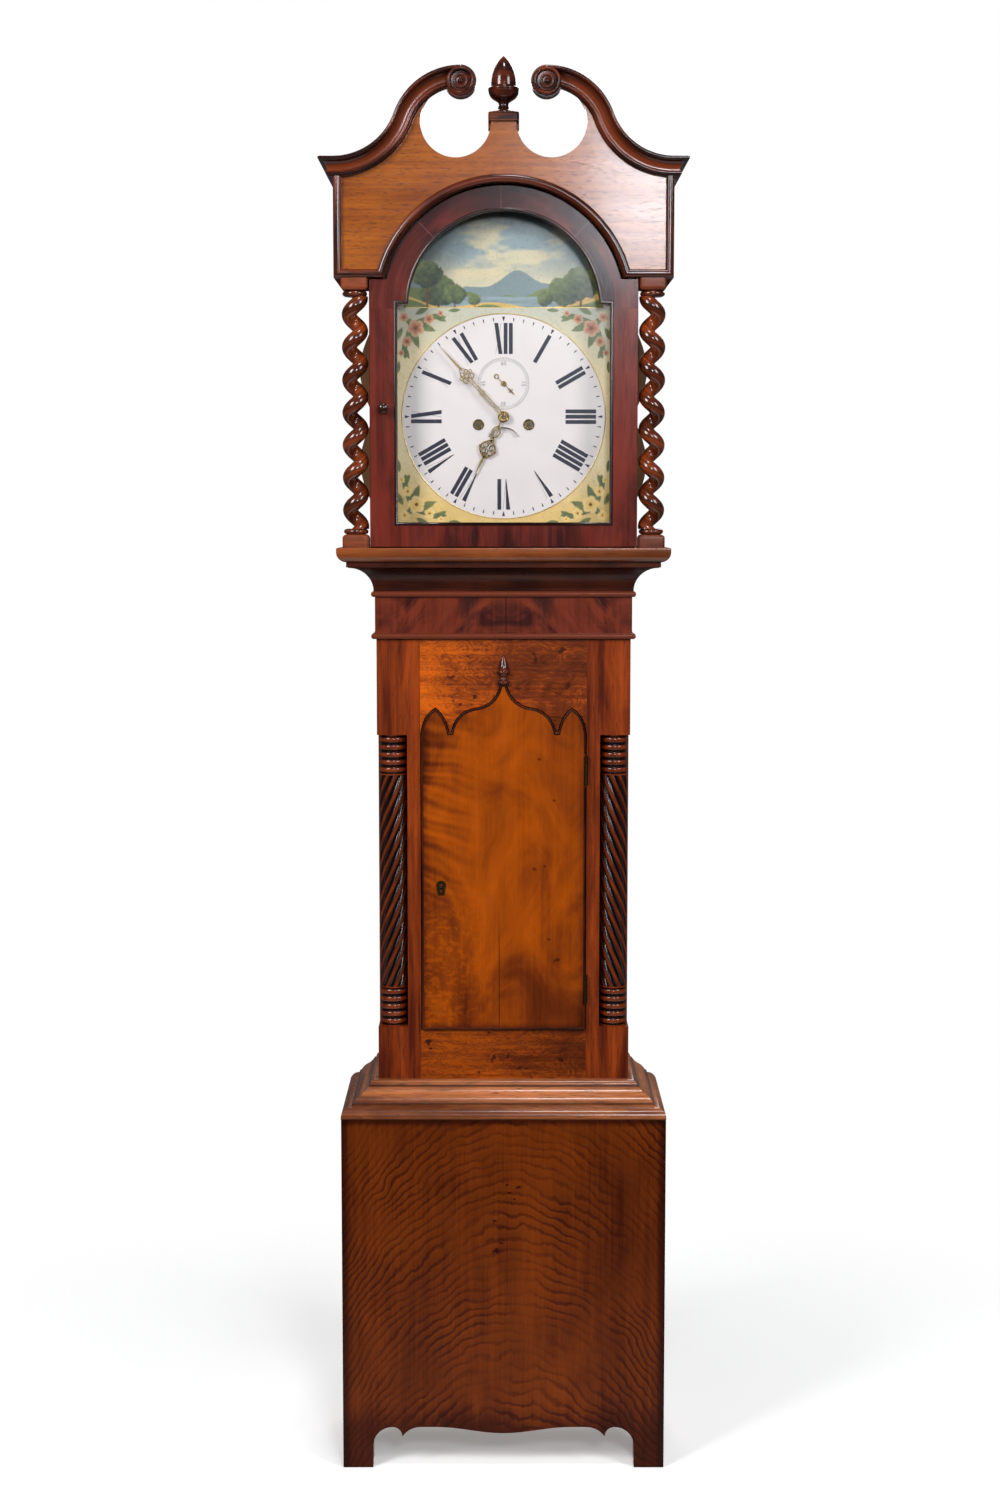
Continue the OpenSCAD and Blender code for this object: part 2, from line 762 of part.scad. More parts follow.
// Points of a neck's edge, s inside its upper edge, from the crest to the horn
function neck_edge(s, n = 11) = concat(
    arc(crest_c[0], crest_c[1], neck_r - s, 90, neck_turn, n),
    [for (i = [1:n]) let (a = 180 + neck_turn + (90 - neck_turn) * i / n)
        horn_c + (horn_r + s) * [cos(a), sin(a)]]
);

pedestal_half = 20;
pedestal_top = arch_z + circle_z;
rosette_r = 24.5;
rosette_z = crest_top - rosette_r - 0.5;

module tympanum() {
    half = tympanum_w / 2;
    right = concat(
        [[half, leg_z], [half, horn_top - 4]],
        reversed(neck_edge(4)),
        [[crest_x - rosette_r + 3, rosette_z], [crest_x - rosette_r + 9, rosette_z - 14],
         [pedestal_half + 8, pedestal_top - 2], [pedestal_half, pedestal_top]]
    );
    color(oak) difference() {
        front_plate(tympanum_back, tympanum_face) difference() {
            polygon(concat(right, reversed(flipped(right))));
            translate([0, arch_z]) circle(r = arch_r, $fn = 96);
            for (s = [-1, 1]) translate([s * circle_x, pedestal_top]) circle(r = circle_r, $fn = 96);
        }
        hood_pivot_bore(leg_z - 1, pivot_len + 1);
    }
}

// A dark bead along the outer edges, the leg bottoms and round the arch
module tympanum_bead() {
    half = tympanum_w / 2;
    top = horn_top - neck_w - 1;
    step = 2.5;
    color(dark_wood) for (layer = [[0, 5], [step, 8]]) {
        inset_by = layer[0];
        front_plate(tympanum_face, tympanum_face + layer[1]) {
            for (s = [-1, 1]) translate([s * (half - bead_w / 2), 0]) {
                translate([-bead_w / 2 + inset_by, leg_z + inset_by])
                    square([bead_w - 2 * inset_by, top - leg_z - inset_by]);
            }
            difference() {
                translate([-half + inset_by, leg_z + inset_by])
                    square([2 * (half - inset_by), bead_w - 2 * inset_by]);
                translate([0, arch_z]) circle(r = arch_r + inset_by, $fn = 96);
            }
            difference() {
                translate([0, arch_z]) circle(r = arch_r + bead_w - inset_by, $fn = 96);
                translate([0, arch_z]) circle(r = arch_r + inset_by, $fn = 96);
                translate([-half, leg_z - 400 + inset_by]) square([2 * half, 400]);
            }
        }
    }
}

// Profile of the neck moulding as [distance in from its upper edge, height off the face]
function neck_profile() = concat(
    [[0, 0], [0, neck_out], [3.5, neck_out]],
    oval(neck_w - 11.5, neck_out - 2, neck_w - 16, neck_out - 10, 180, 270, 6),
    [[neck_w - 10.5, 10], [neck_w - 8, 10.8], [neck_w - 5.5, 10], [neck_w - 5.5, 7],
     [neck_w - 4, 6], [neck_w, 5], [neck_w, 0]]
);

// The moulding runs down the S of the neck, turns the corner and goes back to the wall
module swan_neck() {
    profile = neck_profile();
    half = tympanum_w / 2;
    steps = 11;
    run = [for (p = profile) neck_edge(p[0], steps)];
    points = concat(
        [for (i = [0:2 * steps], j = [0:len(profile) - 1])
            [run[j][i][0], yy(tympanum_face + profile[j][1]), run[j][i][1]]],
        [for (p = profile) [half + p[1], yy(tympanum_face + p[1]), horn_top - p[0]]],
        [for (p = profile) [half + p[1], yy(carcass_back), horn_top - p[0]]]
    );
    polyhedron(points, tube_faces(2 * steps + 3, len(profile)));
}

module swan_neck_left() {
    color(mahogany) mirror([1, 0, 0]) swan_neck();
}

module swan_neck_right() {
    color(mahogany) swan_neck();
}

// Turned discs over the necks' ends, each on a boss that fills the scroll
module rosettes() {
    face = tympanum_face + neck_out;
    gap = 0.4;
    color(dark_wood) mirrored() {
        front_plate(tympanum_face, face) {
            intersection() {
                translate([crest_x, rosette_z]) circle(r = rosette_r);
                translate([crest_x - 2 * rosette_r, rosette_z - rosette_r])
                    square([2 * rosette_r, 2 * rosette_r]);
            }
            intersection() {
                translate([crest_x, rosette_z]) circle(r = rosette_r);
                translate(crest_c) circle(r = neck_r - neck_w - gap, $fn = 96);
                translate([crest_x - 1, rosette_z - rosette_r]) square(2 * rosette_r);
            }
        }
        turned_forward(crest_x, rosette_z, face) polygon([[0, 0], [21.5, 0], [21.5, 3],
            [20.5, 4.5], [18.5, rosette_disc_t], [16.5, 4.5], [15.5, 2.5], [11, 2], [10, 3.5],
            [8.5, 4.5], [7, 3.5], [6, 2], [3, 2.5], [1.5, 4], [0, 4]]);
    }
}

block_half = 24;
block_top = pedestal_top + 17;

// Square block that straddles the pedestal, with a turned acorn
module hood_finial() {
    mid = tympanum_face - 18;
    drop = 9;
    r = 24.4;
    h = finial_h;
    color(mahogany) {
        difference() {
            slab(-block_half, block_half, mid - block_half, mid + block_half,
                pedestal_top - drop, block_top - 3);
            slab(-block_half - 1, block_half + 1, tympanum_back, mid + block_half + 1,
                pedestal_top - drop - 1, pedestal_top);
        }
        translate([0, yy(mid), block_top - 3]) rotate_extrude() polygon(concat(
            [[0, 0], [block_half - 1, 0], [14, 5], [11, 8], [8.5, 10], [8.5, 15], [13, h * 0.24]],
            [[18.5, h * 0.3], [21.5, h * 0.36], [r, h * 0.42], [r, h * 0.46], [20, h * 0.49]],
            oval(0, h * 0.49, 19.5, h * 0.51 + 3, 4, 90, 9)
        ));
    }
}

// Level section through a round strand wound at radius off, climbing lead in a turn
function strand_section(off, r, lead, n) =
    let (climb = lead / (2 * PI), tilt = atan(climb / off))
    [for (i = [0:n - 1])
        let (b = -360 * i / n, u = off + r * cos(b), v = r * sin(b),
             a = -v * cos(tilt) / climb * 180 / PI, w = v * sin(tilt))
        [u * cos(a) + w * sin(a), u * sin(a) - w * cos(a)]];

// One strand wound round the column's axis, between turned collars
module twist_column() {
    end_h = 9;
    sink = 0.5;
    h = twist_h - 2 * (end_h - sink);
    steps_per_turn = 11;
    translate([0, 0, end_h - sink]) rotate(strand_start)
        wound(strand_section(strand_off, strand_dia / 2, strand_lead, 14), h,
            360 * h / strand_lead, round(steps_per_turn * h / strand_lead));
    for (z = [0, twist_h - end_h]) translate([0, 0, z]) rotate_extrude() polygon(concat(
        [[0, 0], [16, 0]], oval(16, end_h / 2, 3.5, end_h / 2 - 1, -80, 80, 6), [[16, end_h], [0, end_h]]));
}

module hood_columns() {
    color(mahogany) for (s = [-1, 1]) {
        translate([s * hood_col_x, yy(hood_col_d), twist_z]) mirror([s > 0 ? 1 : 0, 0, 0]) twist_column();
    }
}

module column_blocks() {
    color(mahogany) mirrored() {
        for (zone = [[hood_floor, twist_z], [capital_z, leg_z]]) {
            slab(hood_col_x - block_w / 2, hood_col_x + block_w / 2,
                hood_col_d - block_w / 2, hood_col_d + block_w / 2, zone[0], zone[1]);
        }
    }
}

// Hood door

door_low = hood_floor + hood_door_gap;
door_high = leg_z - hood_door_gap;
door_arch_r = arch_r - 4.5;
rebate = 6;
glass_d = door_face - hood_door_t + 6;

module hood_door_frame() {
    color(mahogany) difference() {
        front_plate(door_face - hood_door_t, door_face) difference() {
            union() {
                translate([-hood_door_w / 2, door_low]) square([hood_door_w, door_high - door_low]);
                intersection() {
                    translate([0, arch_z]) circle(r = door_arch_r, $fn = 96);
                    translate([-door_arch_r, door_high - 1]) square([2 * door_arch_r, door_arch_r]);
                }
            }
            arched_outline(0);
        }
        front_plate(door_face - hood_door_t - 1, glass_d) arched_outline(rebate);
        for (z = [door_low - 1, door_high - pivot_len])
            translate([pivot_x, yy(pivot_d), z]) cylinder(d = pivot_dia, h = pivot_len + 1);
    }
}

module hood_door_glass() {
    color("lightblue", 0.4) front_plate(glass_d - glass_t, glass_d) arched_outline(rebate - 0.5);
}

module hood_door_knob() {
    z = centre_z + 11.5;
    color(dark_wood) turned_forward(-(hood_door_w + sight_w) / 4, z, door_face)
        polygon([[0, 0], [7, 0], [7, 2], [4, 4], [4, 9], [7, 11], [8.5, 14], [7.5, 17], [4, 19], [0, 19.5]]);
}

module hood_door_pivots() {
    reach = hood_door_gap + pivot_len - 1;
    color(brass) {
        translate([pivot_x, yy(pivot_d), door_low - reach]) cylinder(d = pivot_dia, h = reach + pivot_len);
        translate([pivot_x, yy(pivot_d), door_high - pivot_len]) cylinder(d = pivot_dia, h = reach + pivot_len);
    }
}

// Movement

plate_t = 3.5;
back_plate_d = 104.5;
front_plate_d = 158;
plate_half = 70;
plate_z0 = seat_z + seat_t;
plate_z1 = centre_z + 106;
pivot_r = 1;
arbor_r = 2;
escape_z = centre_z + seconds_z;
winding_z = centre_z - winding_drop;
rod_d = 86;

// Tooth counts and the distances between arbors
great_teeth = 96;
strike_teeth = 84;
pinion_teeth = 8;
centre_teeth = 60;
third_teeth = 56;
small_pinion = 7;
escape_teeth = 30;
motion_teeth = 36;
hour_teeth = 72;
hour_pinion = 6;
pin_teeth = 56;
gathering_teeth = 49;
great_gap = norm([winding_x, winding_drop]);
great_mod = 2 * great_gap / (great_teeth + pinion_teeth);
centre_mod = 0.85;
third_gap = centre_mod * (centre_teeth + pinion_teeth) / 2;
escape_gap = centre_mod * (third_teeth + small_pinion) / 2;
third_rise = (pow(seconds_z, 2) + pow(third_gap, 2) - pow(escape_gap, 2)) / (2 * seconds_z);
third_p = [sqrt(pow(third_gap, 2) - pow(third_rise, 2)), centre_z + third_rise];
centre_p = [0, centre_z];
escape_p = [0, escape_z];
going_p = [winding_x, winding_z];
strike_p = [-winding_x, winding_z];
strike_mod = 0.8;
pin_p = strike_p + strike_mod * (strike_teeth + pinion_teeth) / 2 * [cos(96), sin(96)];
pin_mod = 0.75;
gathering_p = pin_p + pin_mod * (pin_teeth + small_pinion) / 2 * [cos(80), sin(80)];
escape_r = 20;
anchor_p = escape_p + [0, escape_r * sqrt(2)];
motion_mod = 0.75;
minute_p = centre_p - [0, motion_mod * motion_teeth];
hour_mod = 2 * motion_mod * motion_teeth / (hour_teeth + hour_pinion);
hammer_p = [-57, centre_z + 77];
suspension_z = anchor_p[1] + 26.7;

function bearing(p, q) = atan2(q[1] - p[1], q[0] - p[0]);

// Tooth outline of a wheel or pinion with a tooth centred on angle at
function gear_points(n, m, add, ded, at) = [
    for (i = [0:n - 1], k = [[-0.24, -ded], [-0.07, add], [0.07, add], [0.24, -ded]])
        let (a = at + 360 * (i + k[0]) / n, r = m * n / 2 + k[1] * m) r * [cos(a), sin(a)]
];

// A crossed-out wheel: toothed rim, hub and four spokes
module wheel(p, n, m, at, d0, t, hub) {
    rim = m * n / 2 - 1.3 * m - 2.4;
    translate([p[0], 0, p[1]]) front_plate(d0, d0 + t) {
        difference() {
            polygon(gear_points(n, m, 0.8, 1.3, at));
            circle(r = rim);
        }
        circle(r = hub, $fn = 12);
        for (a = [0, 90]) rotate(a + 20) translate([-rim - 1, -1.4]) square([2 * rim + 2, 2.8]);
    }
}

module pinion(p, n, m, at, d0, t) {
    translate([p[0], 0, p[1]]) front_plate(d0, d0 + t) polygon(gear_points(n, m, 0.6, 1.3, at + 180 / n));
}

// A twelve-sided arbor between the plates with a round pivot at each end
module arbor(p, front = front_plate_d, front_len = plate_t) {
    back = back_plate_d + plate_t;
    translate([p[0], 0, p[1]]) front_plate(back + 0.4, front - 0.4) circle(r = arbor_r, $fn = 12);
    rod(p[0], p[1], pivot_r, back_plate_d, back + 1);
    rod(p[0], p[1], pivot_r, front - 1, front + front_len);
}

great_d = 140;
great_t = 3;
fast_d = 149;

// Drum, great wheel and winding square of one train
module barrel(p, n, m, at) {
    drum_r = line_wrap_r - gut_dia / 2 - 0.3;
    flange = 2;
    back = 112;
    color(brass) {
        rod(p[0], p[1], drum_r, back, great_d);
        rod(p[0], p[1], drum_r + 3, back, back + flange);
        translate([p[0], 0, p[1]]) front_plate(great_d, great_d + great_t) difference() {
            polygon(gear_points(n, m, 0.8, 1.3, at));
            circle(r = 2.9);
        }
    }
    color(steel) {
        rod(p[0], p[1], pivot_r, back_plate_d, back);
        rod(p[0], p[1], 3, back, front_plate_d + 0.2);
        rod(p[0], p[1], 4, front_plate_d, front_plate_d + plate_t);
        rod(p[0], p[1], 3.6, front_plate_d + plate_t, dial_face - 12);
        slab(p[0] - winding_sq / 2, p[0] + winding_sq / 2, dial_face - 13, dial_face,
            p[1] - winding_sq / 2, p[1] + winding_sq / 2);
    }
}

barrel_bore = 4 + pin_clearance;

module movement_frame() {
    arbors = [centre_p, third_p, escape_p, anchor_p, pin_p, gathering_p, hammer_p];
    post_r = 3.8;
    foot_x = plate_half - 6;
    posts = [[-54, plate_z0 + 7], [54, plate_z0 + 7], [5 - plate_half, plate_z1 - 6],
        [plate_half - 5, plate_z1 - 6]];
    color(brass) {
        difference() {
            union() {
                slab(-plate_half, plate_half, back_plate_d, back_plate_d + plate_t, plate_z0, plate_z1);
                slab(-plate_half, plate_half, front_plate_d, front_plate_d + plate_t, plate_z0, plate_z1);
                for (p = posts) rod(p[0], p[1], post_r, back_plate_d + 1, front_plate_d + 1);
            }
            for (p = arbors) {
                is_centre = p == centre_p;
                is_anchor = p == anchor_p;
                rod(p[0], p[1], is_anchor ? 5 : pivot_r + pin_clearance, back_plate_d - 1, back_plate_d + plate_t + 1);
                rod(p[0], p[1], is_centre ? centre_pivot_r + pin_clearance : pivot_r + pin_clearance,
                    front_plate_d - 1, front_plate_d + plate_t + 1);
            }
            for (p = [going_p, strike_p]) {
                rod(p[0], p[1], pivot_r + pin_clearance, back_plate_d - 1, back_plate_d + plate_t + 1);
                rod(p[0], p[1], barrel_bore, front_plate_d - 1, front_plate_d + plate_t + 1);
            }
        }
        back_cock();
        bell_stand();
        minute_stud();
        for (x = [-foot_x, foot_x], z = [plate_z0 + 20, plate_z1 - 20])
            rod(x, z, 3, front_plate_d + plate_t, dial_face - dial_t);
    }
}

cock_d = 93;
cock_t = 4;

// Bridge behind the back plate: it carries the anchor's rear pivot and hangs the pendulum
module back_cock() {
    half = 24;
    z0 = anchor_p[1] - 8;
    difference() {
        union() {
            slab(-half, half, cock_d, cock_d + cock_t, z0, suspension_z);
            mirrored() slab(half - 6, half, cock_d + cock_t, back_plate_d, z0, suspension_z);
            slab(-9, 9, rod_d - 6, cock_d, suspension_z - 6, suspension_z);
        }
        rod(0, anchor_p[1], pivot_r + pin_clearance, cock_d - 1, cock_d + cock_t + 1);
        rod(0, suspension_z, suspension_r + pin_clearance, rod_d - 7, cock_d + cock_t + 1);
        slab(-1.2, 1.2, rod_d - 7, cock_d, suspension_z - 7, suspension_z);
    }
}

bell_r = 40;
bell_h = 32;
bell_z = centre_z + 122;
bell_d = 132;
stand_t = 4;

// Post on the back plate with an arm that reaches over the bell
module bell_stand() {
    post_x = bell_r + 8;
    top = bell_z + bell_h;
    slab(post_x, post_x + 8, back_plate_d, back_plate_d + plate_t, plate_z1 - 1, top + stand_t);
    translate([0, 0, top]) linear_extrude(stand_t) polygon([
        [post_x + 8, yy(back_plate_d)], [post_x + 8, yy(back_plate_d + 8)],
        [5, yy(bell_d + 5)], [-5, yy(bell_d + 5)], [-5, yy(bell_d - 5)], [2, yy(bell_d - 5)],
        [post_x, yy(back_plate_d)]]);
}

module bell() {
    wall = 3;
    color(brass) translate([0, yy(bell_d), bell_z]) rotate_extrude() polygon(concat(
        [[bell_r, 0]],
        oval(0, 0, bell_r - 2, bell_h - 1, 8, 80, 9),
        [[5, bell_h], [0, bell_h], [0, bell_h - 1 - wall]],
        reversed(oval(0, 0, bell_r - 2 - wall, bell_h - 1 - wall, 8, 85, 9)),
        [[bell_r - wall, 0]]
    ));
}

module minute_stud() {
    rod(minute_p[0], minute_p[1], stud_r, front_plate_d + plate_t, motion_d + 11);
}

centre_pivot_r = 2.4;
motion_d = 166;
stud_r = 0.9;

module going_barrel() {
    barrel(going_p, great_teeth, great_mod, bearing(going_p, centre_p));
}

module strike_barrel() {
    barrel(strike_p, strike_teeth, strike_mod, bearing(strike_p, pin_p));
}

// The centre arbor carries the minute hand, so it runs on through the dial
hand_sq = 3;
module centre_wheel() {
    color(brass) {
        pinion(centre_p, pinion_teeth, great_mod, bearing(centre_p, going_p), great_d - 2, 7);
        wheel(centre_p, centre_teeth, centre_mod, bearing(centre_p, third_p), fast_d, 2, 5);
        translate([0, 0, centre_z]) front_plate(motion_d, motion_d + 2)
            polygon(gear_points(motion_teeth, motion_mod, 0.6, 1.3, 270));
    }
    color(steel) {
        arbor(centre_p, front_len = 0);
        rod(0, centre_z, centre_pivot_r, front_plate_d - 1, hour_hand_d + 3.5);
        slab(-hand_sq / 2, hand_sq / 2, hour_hand_d + 3, minute_hand_d + 3,
            centre_z - hand_sq / 2, centre_z + hand_sq / 2);
    }
}

module third_wheel() {
    color(brass) {
        pinion(third_p, pinion_teeth, centre_mod, bearing(third_p, centre_p), fast_d - 2, 6);
        wheel(third_p, third_teeth, centre_mod, bearing(third_p, escape_p), 128, 2, 4);
    }
    color(steel) arbor(third_p);
}

// Escape wheel with thirty pointed teeth, and the long front pivot for the seconds hand
module escape_wheel() {
    rim = escape_r - 4.5;
    color(brass) {
        pinion(escape_p, small_pinion, centre_mod, bearing(escape_p, third_p), 125, 8);
        translate([0, 0, escape_z]) front_plate(117, 119) {
            difference() {
                polygon([for (i = [0:escape_teeth - 1],
                    k = [[-0.16, escape_r - 3], [-0.03, escape_r], [0.03, escape_r], [0.16, escape_r - 3]])
                    let (a = 90 + 360 * (i + 0.5 + k[0]) / escape_teeth) k[1] * [cos(a), sin(a)]]);
                circle(r = rim - 2);
            }
            circle(r = 4, $fn = 12);
            for (a = [0, 90]) rotate(a) translate([-rim, -1.2]) square([2 * rim, 2.4]);
        }
    }
    color(steel) {
        arbor(escape_p, front_len = 0);
        rod(0, escape_z, pivot_r, front_plate_d - 1, dial_face + 2);
    }
}

fork_z = anchor_p[1] - 93;
fork_gap = 0.5;
rod_w = 7;
rod_t = 3;
pallet_t = 1;

// Anchor with two pallets just over the wheel, its arbor and the crutch with its fork
module anchor() {
    z = anchor_p[1];
    clear = 0.3;
    tip = escape_r + clear;
    color(steel) {
        translate([0, 0, escape_z]) front_plate(115, 121) {
            for (s = [-1, 1]) polygon([
                tip * [s * sin(45 - 1.2), cos(45 - 1.2)],
                tip * [s * sin(45 + 1.2), cos(45 + 1.2)],
                (tip + 9) * [s * sin(45 + 4), cos(45 + 4)],
                [s * 5, z - escape_z + 4],
                [0, z - escape_z + 5],
                [0, z - escape_z - 3],
                (tip + 6) * [s * sin(45 - 6), cos(45 - 6)]
            ]);
        }
        translate([0, 0, z]) front_plate(102.4, front_plate_d - 0.4) circle(r = arbor_r, $fn = 12);
        rod(0, z, pivot_r, cock_d, 103);
        rod(0, z, pivot_r, front_plate_d - 1, front_plate_d + plate_t);
        slab(-2, 2, 98.5, 103, fork_z, z + 4);
        difference() {
            slab(-rod_w / 2 - 3, rod_w / 2 + 3, rod_d - rod_t / 2 - 2, 99, fork_z - 3, fork_z + 1);
            slab(-rod_w / 2 - fork_gap, rod_w / 2 + fork_gap, rod_d - rod_t / 2 - 3,
                rod_d + rod_t / 2 + 1, fork_z - 4, fork_z + 2);
        }
    }
}

suspension_r = 2;

// Steel rod, lens-shaped bob, rating nut, and the pin and strip that it hangs from
module pendulum() {
    bob_z = suspension_z - pendulum_len;
    half_t = 13.5;
    r = bob_dia / 2;
    strip_end = suspension_z - 22;
    color(steel) {
        rod(0, suspension_z, suspension_r, rod_d - 6, rod_d + 6);
        slab(-0.3, 0.3, rod_d - 4, rod_d + 4, strip_end, suspension_z);
        slab(-rod_w / 2, rod_w / 2, rod_d - rod_t / 2, rod_d + rod_t / 2, bob_z - r - 30, strip_end + 2);
        slab(-6, 6, rod_d - 5, rod_d + 5, bob_z - r - 18, bob_z - r - 8);
    }
    color(brass) translate([0, yy(rod_d), bob_z]) rotate([90, 0, 0]) rotate_extrude() polygon(concat(
        oval(0, 0, r, half_t, -90, 90, 14)));
}

module minute_wheel() {
    color(brass) translate([minute_p[0], 0, minute_p[1]]) difference() {
        union() {
            front_plate(motion_d, motion_d + 2)
                polygon(gear_points(motion_teeth, motion_mod, 0.6, 1.3, 90 + 180 / motion_teeth));
            front_plate(motion_d + 2, motion_d + 10)
                polygon(gear_points(hour_pinion, hour_mod, 0.6, 0.8, 90 + 180 / hour_pinion));
        }
        rod(0, 0, stud_r + pin_clearance, motion_d - 1, motion_d + 12);
    }
}

hour_pipe_r = 4.5;
hour_hand_d = 199;
minute_hand_d = 203;

module hour_wheel() {
    bore = centre_pivot_r + pin_clearance;
    color(brass) translate([0, 0, centre_z]) difference() {
        union() {
            front_plate(motion_d + 6, motion_d + 8) polygon(gear_points(hour_teeth, hour_mod, 0.6, 1.3, 270));
            rod(0, 0, hour_pipe_r, motion_d + 3, hour_hand_d + 1.5);
        }
        rod(0, 0, bore, motion_d, hour_hand_d + 4);
    }
}

// A date disc that shows through the curved opening
date_z = centre_z - 45;
date_r = 31;
date_stud_r = 2.5;

module date_disc() {
    color("ivory") difference() {
        rod(0, date_z, date_r, dial_face - dial_t - 5, dial_face - dial_t - 3.8);
        rod(0, date_z, date_stud_r + pin_clearance, dial_face - dial_t - 7, dial_face - dial_t);
    }
}

// Dial and hands

module dial_plate() {
    back = dial_face - dial_t;
    low = centre_z - dial_w / 2;
    square_hole = 5.8;
    color("ivory") {
        difference() {
            front_plate(back, dial_face) difference() {
                union() {
                    translate([-dial_w / 2, low]) square(dial_w);
                    translate([0, arch_z]) circle(r = sight_r + 9, $fn = 96);
                }
                translate([0, centre_z]) circle(r = hour_pipe_r + 1.5);
                translate([0, escape_z]) circle(r = 2.5);
                for (s = [-1, 1]) translate([s * winding_x, winding_z]) circle(r = square_hole);
                difference() {
                    translate([0, date_z]) circle(r = 28.5);
                    translate([0, date_z]) circle(r = 20);
                    translate([-40, date_z - 33]) square([80, 45.5]);
                }
            }
        }
        rod(0, date_z, date_stud_r, back - 6, back);
    }
}

// Angles of the hands on the dial, clockwise from twelve, in degrees
minute_angle = 317.5;
hour_angle = 206.5;
seconds_angle = 135;

// A hand's outline along +Y: boss with a hole, stem with a pierced ornament and a pointed tip
module hand_outline(len, boss, hole, swell, swell_at) {
    stem = 1.7;
    difference() {
        union() {
            circle(r = boss);
            translate([-stem, 0]) square([2 * stem, len * swell_at]);
            translate([0, len * swell_at]) circle(r = swell);
            polygon([[-stem * 1.5, len * swell_at], [stem * 1.5, len * swell_at], [0.3, len], [-0.3, len]]);
            translate([0, len * 0.22]) circle(r = swell * 0.6);
        }
        if (hole > 0) circle(r = hole);
        translate([0, len * swell_at]) circle(r = swell * 0.55);
        translate([0, len * 0.22]) circle(r = swell * 0.3);
    }
}

module placed_hand(z, angle, d0, t) {
    translate([0, 0, z]) front_plate(d0, d0 + t) rotate(-angle) children();
}

module minute_hand() {
    color(brass) difference() {
        placed_hand(centre_z, minute_angle, minute_hand_d, 1.4) hand_outline(minute_len, 8, 0, 8, 0.55);
        slab(-hand_sq / 2, hand_sq / 2, minute_hand_d - 1, minute_hand_d + 4,
            centre_z - hand_sq / 2, centre_z + hand_sq / 2);
    }
}

module hour_hand() {
    color(brass) placed_hand(centre_z, hour_angle, hour_hand_d + 0.1, 1.4)
        hand_outline(hour_len, 8.5, hour_pipe_r, 12, 0.5);
}

module seconds_hand() {
    color(brass) placed_hand(escape_z, seconds_angle, dial_face + 0.5, 1) difference() {
        union() {
            circle(r = 3.2);
            translate([-0.8, -14]) square([1.6, 14 + seconds_len - 5]);
            translate([0, -14]) circle(r = 3.4);
            polygon([[-2, seconds_len - 6], [0, seconds_len - 9], [2, seconds_len - 6], [0, seconds_len]]);
        }
        circle(r = pivot_r);
        translate([0, -14]) circle(r = 2);
    }
}

// Strike train

module pin_wheel() {
    pins = 8;
    pin_circle = 17;
    color(brass) {
        pinion(pin_p, pinion_teeth, strike_mod, bearing(pin_p, strike_p), great_d - 2, 7);
        wheel(pin_p, pin_teeth, pin_mod, bearing(pin_p, gathering_p), fast_d, 2, 5);
    }
    color(steel) {
        arbor(pin_p);
        for (i = [0:pins - 1]) let (a = 360 * (i + 0.5) / pins)
            rod(pin_p[0] + pin_circle * cos(a), pin_p[1] + pin_circle * sin(a), 0.9, fast_d - 4, fast_d + 1);
    }
}

module gathering_wheel() {
    color(brass) {
        pinion(gathering_p, small_pinion, pin_mod, bearing(gathering_p, pin_p), fast_d - 2, 6);
        wheel(gathering_p, gathering_teeth, 0.6, 0, 135, 2, 3.5);
    }
    color(steel) arbor(gathering_p);
}

// Hammer with its head beside the bell's rim and its tail over the pin circle
module strike_hammer() {
    head_x = -bell_r - 8.5;
    tail = pin_p + [-3, 19.5];
    color(steel) {
        arbor(hammer_p);
        front_plate(fast_d - 5, fast_d - 2) {
            translate(hammer_p) circle(r = 4, $fn = 12);
            polygon([hammer_p + [-2, 0], hammer_p + [2, 0], tail + [1.2, 0], tail - [1.2, 0]]);
            polygon([hammer_p - [2, 0], hammer_p + [2, 0], [head_x + 1.5, bell_z + 4], [head_x - 1.5, bell_z + 4]]);
        }
        translate([head_x - 7, yy(fast_d - 3.5), bell_z + 5]) rotate([0, 90, 0]) cylinder(d = 13, h = 14);
    }
}

// Weights, pulleys and lines

pulley_x = line_near + line_wrap_r;
pulley_rest_z = seat_z - 66 - weight_fall;
pulley_out_r = line_wrap_r + 3;
pulley_pin_r = 2;

// Weight with its hook and the stirrup that carries the pulley's pin
module weight() {
    r = weight_dia / 2;
    z = pulley_rest_z;
    top = z - pulley_out_r - 22;
    arm_in = 5;
    arm_t = 2.5;
    color(lead) translate([pulley_x, yy(drum_d), top - weight_h]) cylinder(r = r, h = weight_h);
    color(brass) {
        translate([pulley_x, yy(drum_d), top - 0.5]) cylinder(r = 2.5, h = 16);
        slab(pulley_x - 5, pulley_x + 5, drum_d - arm_in - arm_t, drum_d + arm_in + arm_t, top + 13, top + 17);
        for (d = [drum_d - arm_in - arm_t, drum_d + arm_in])
            slab(pulley_x - 5, pulley_x + 5, d, d + arm_t, top + 13, z + 6);
        rod(pulley_x, z, pulley_pin_r, drum_d - arm_in - arm_t, drum_d + arm_in + arm_t);
    }
}

module weight_right() {
    weight();
}

module weight_left() {
    mirror([1, 0, 0]) weight();
}

module pulley() {
    half_t = 4.5;
    groove = line_wrap_r - gut_dia / 2 - 0.3;
    color(brass) translate([pulley_x, yy(drum_d), pulley_rest_z]) rotate([90, 0, 0]) rotate_extrude()
        polygon([[pulley_pin_r + pin_clearance, -half_t], [pulley_out_r, -half_t],
            [pulley_out_r, -half_t + 1], [groove, -1.2], [groove, 1.2],
            [pulley_out_r, half_t - 1], [pulley_out_r, half_t], [pulley_pin_r + pin_clearance, half_t]]);
}

module pulley_right() {
    pulley();
}

module pulley_left() {
    mirror([1, 0, 0]) pulley();
}

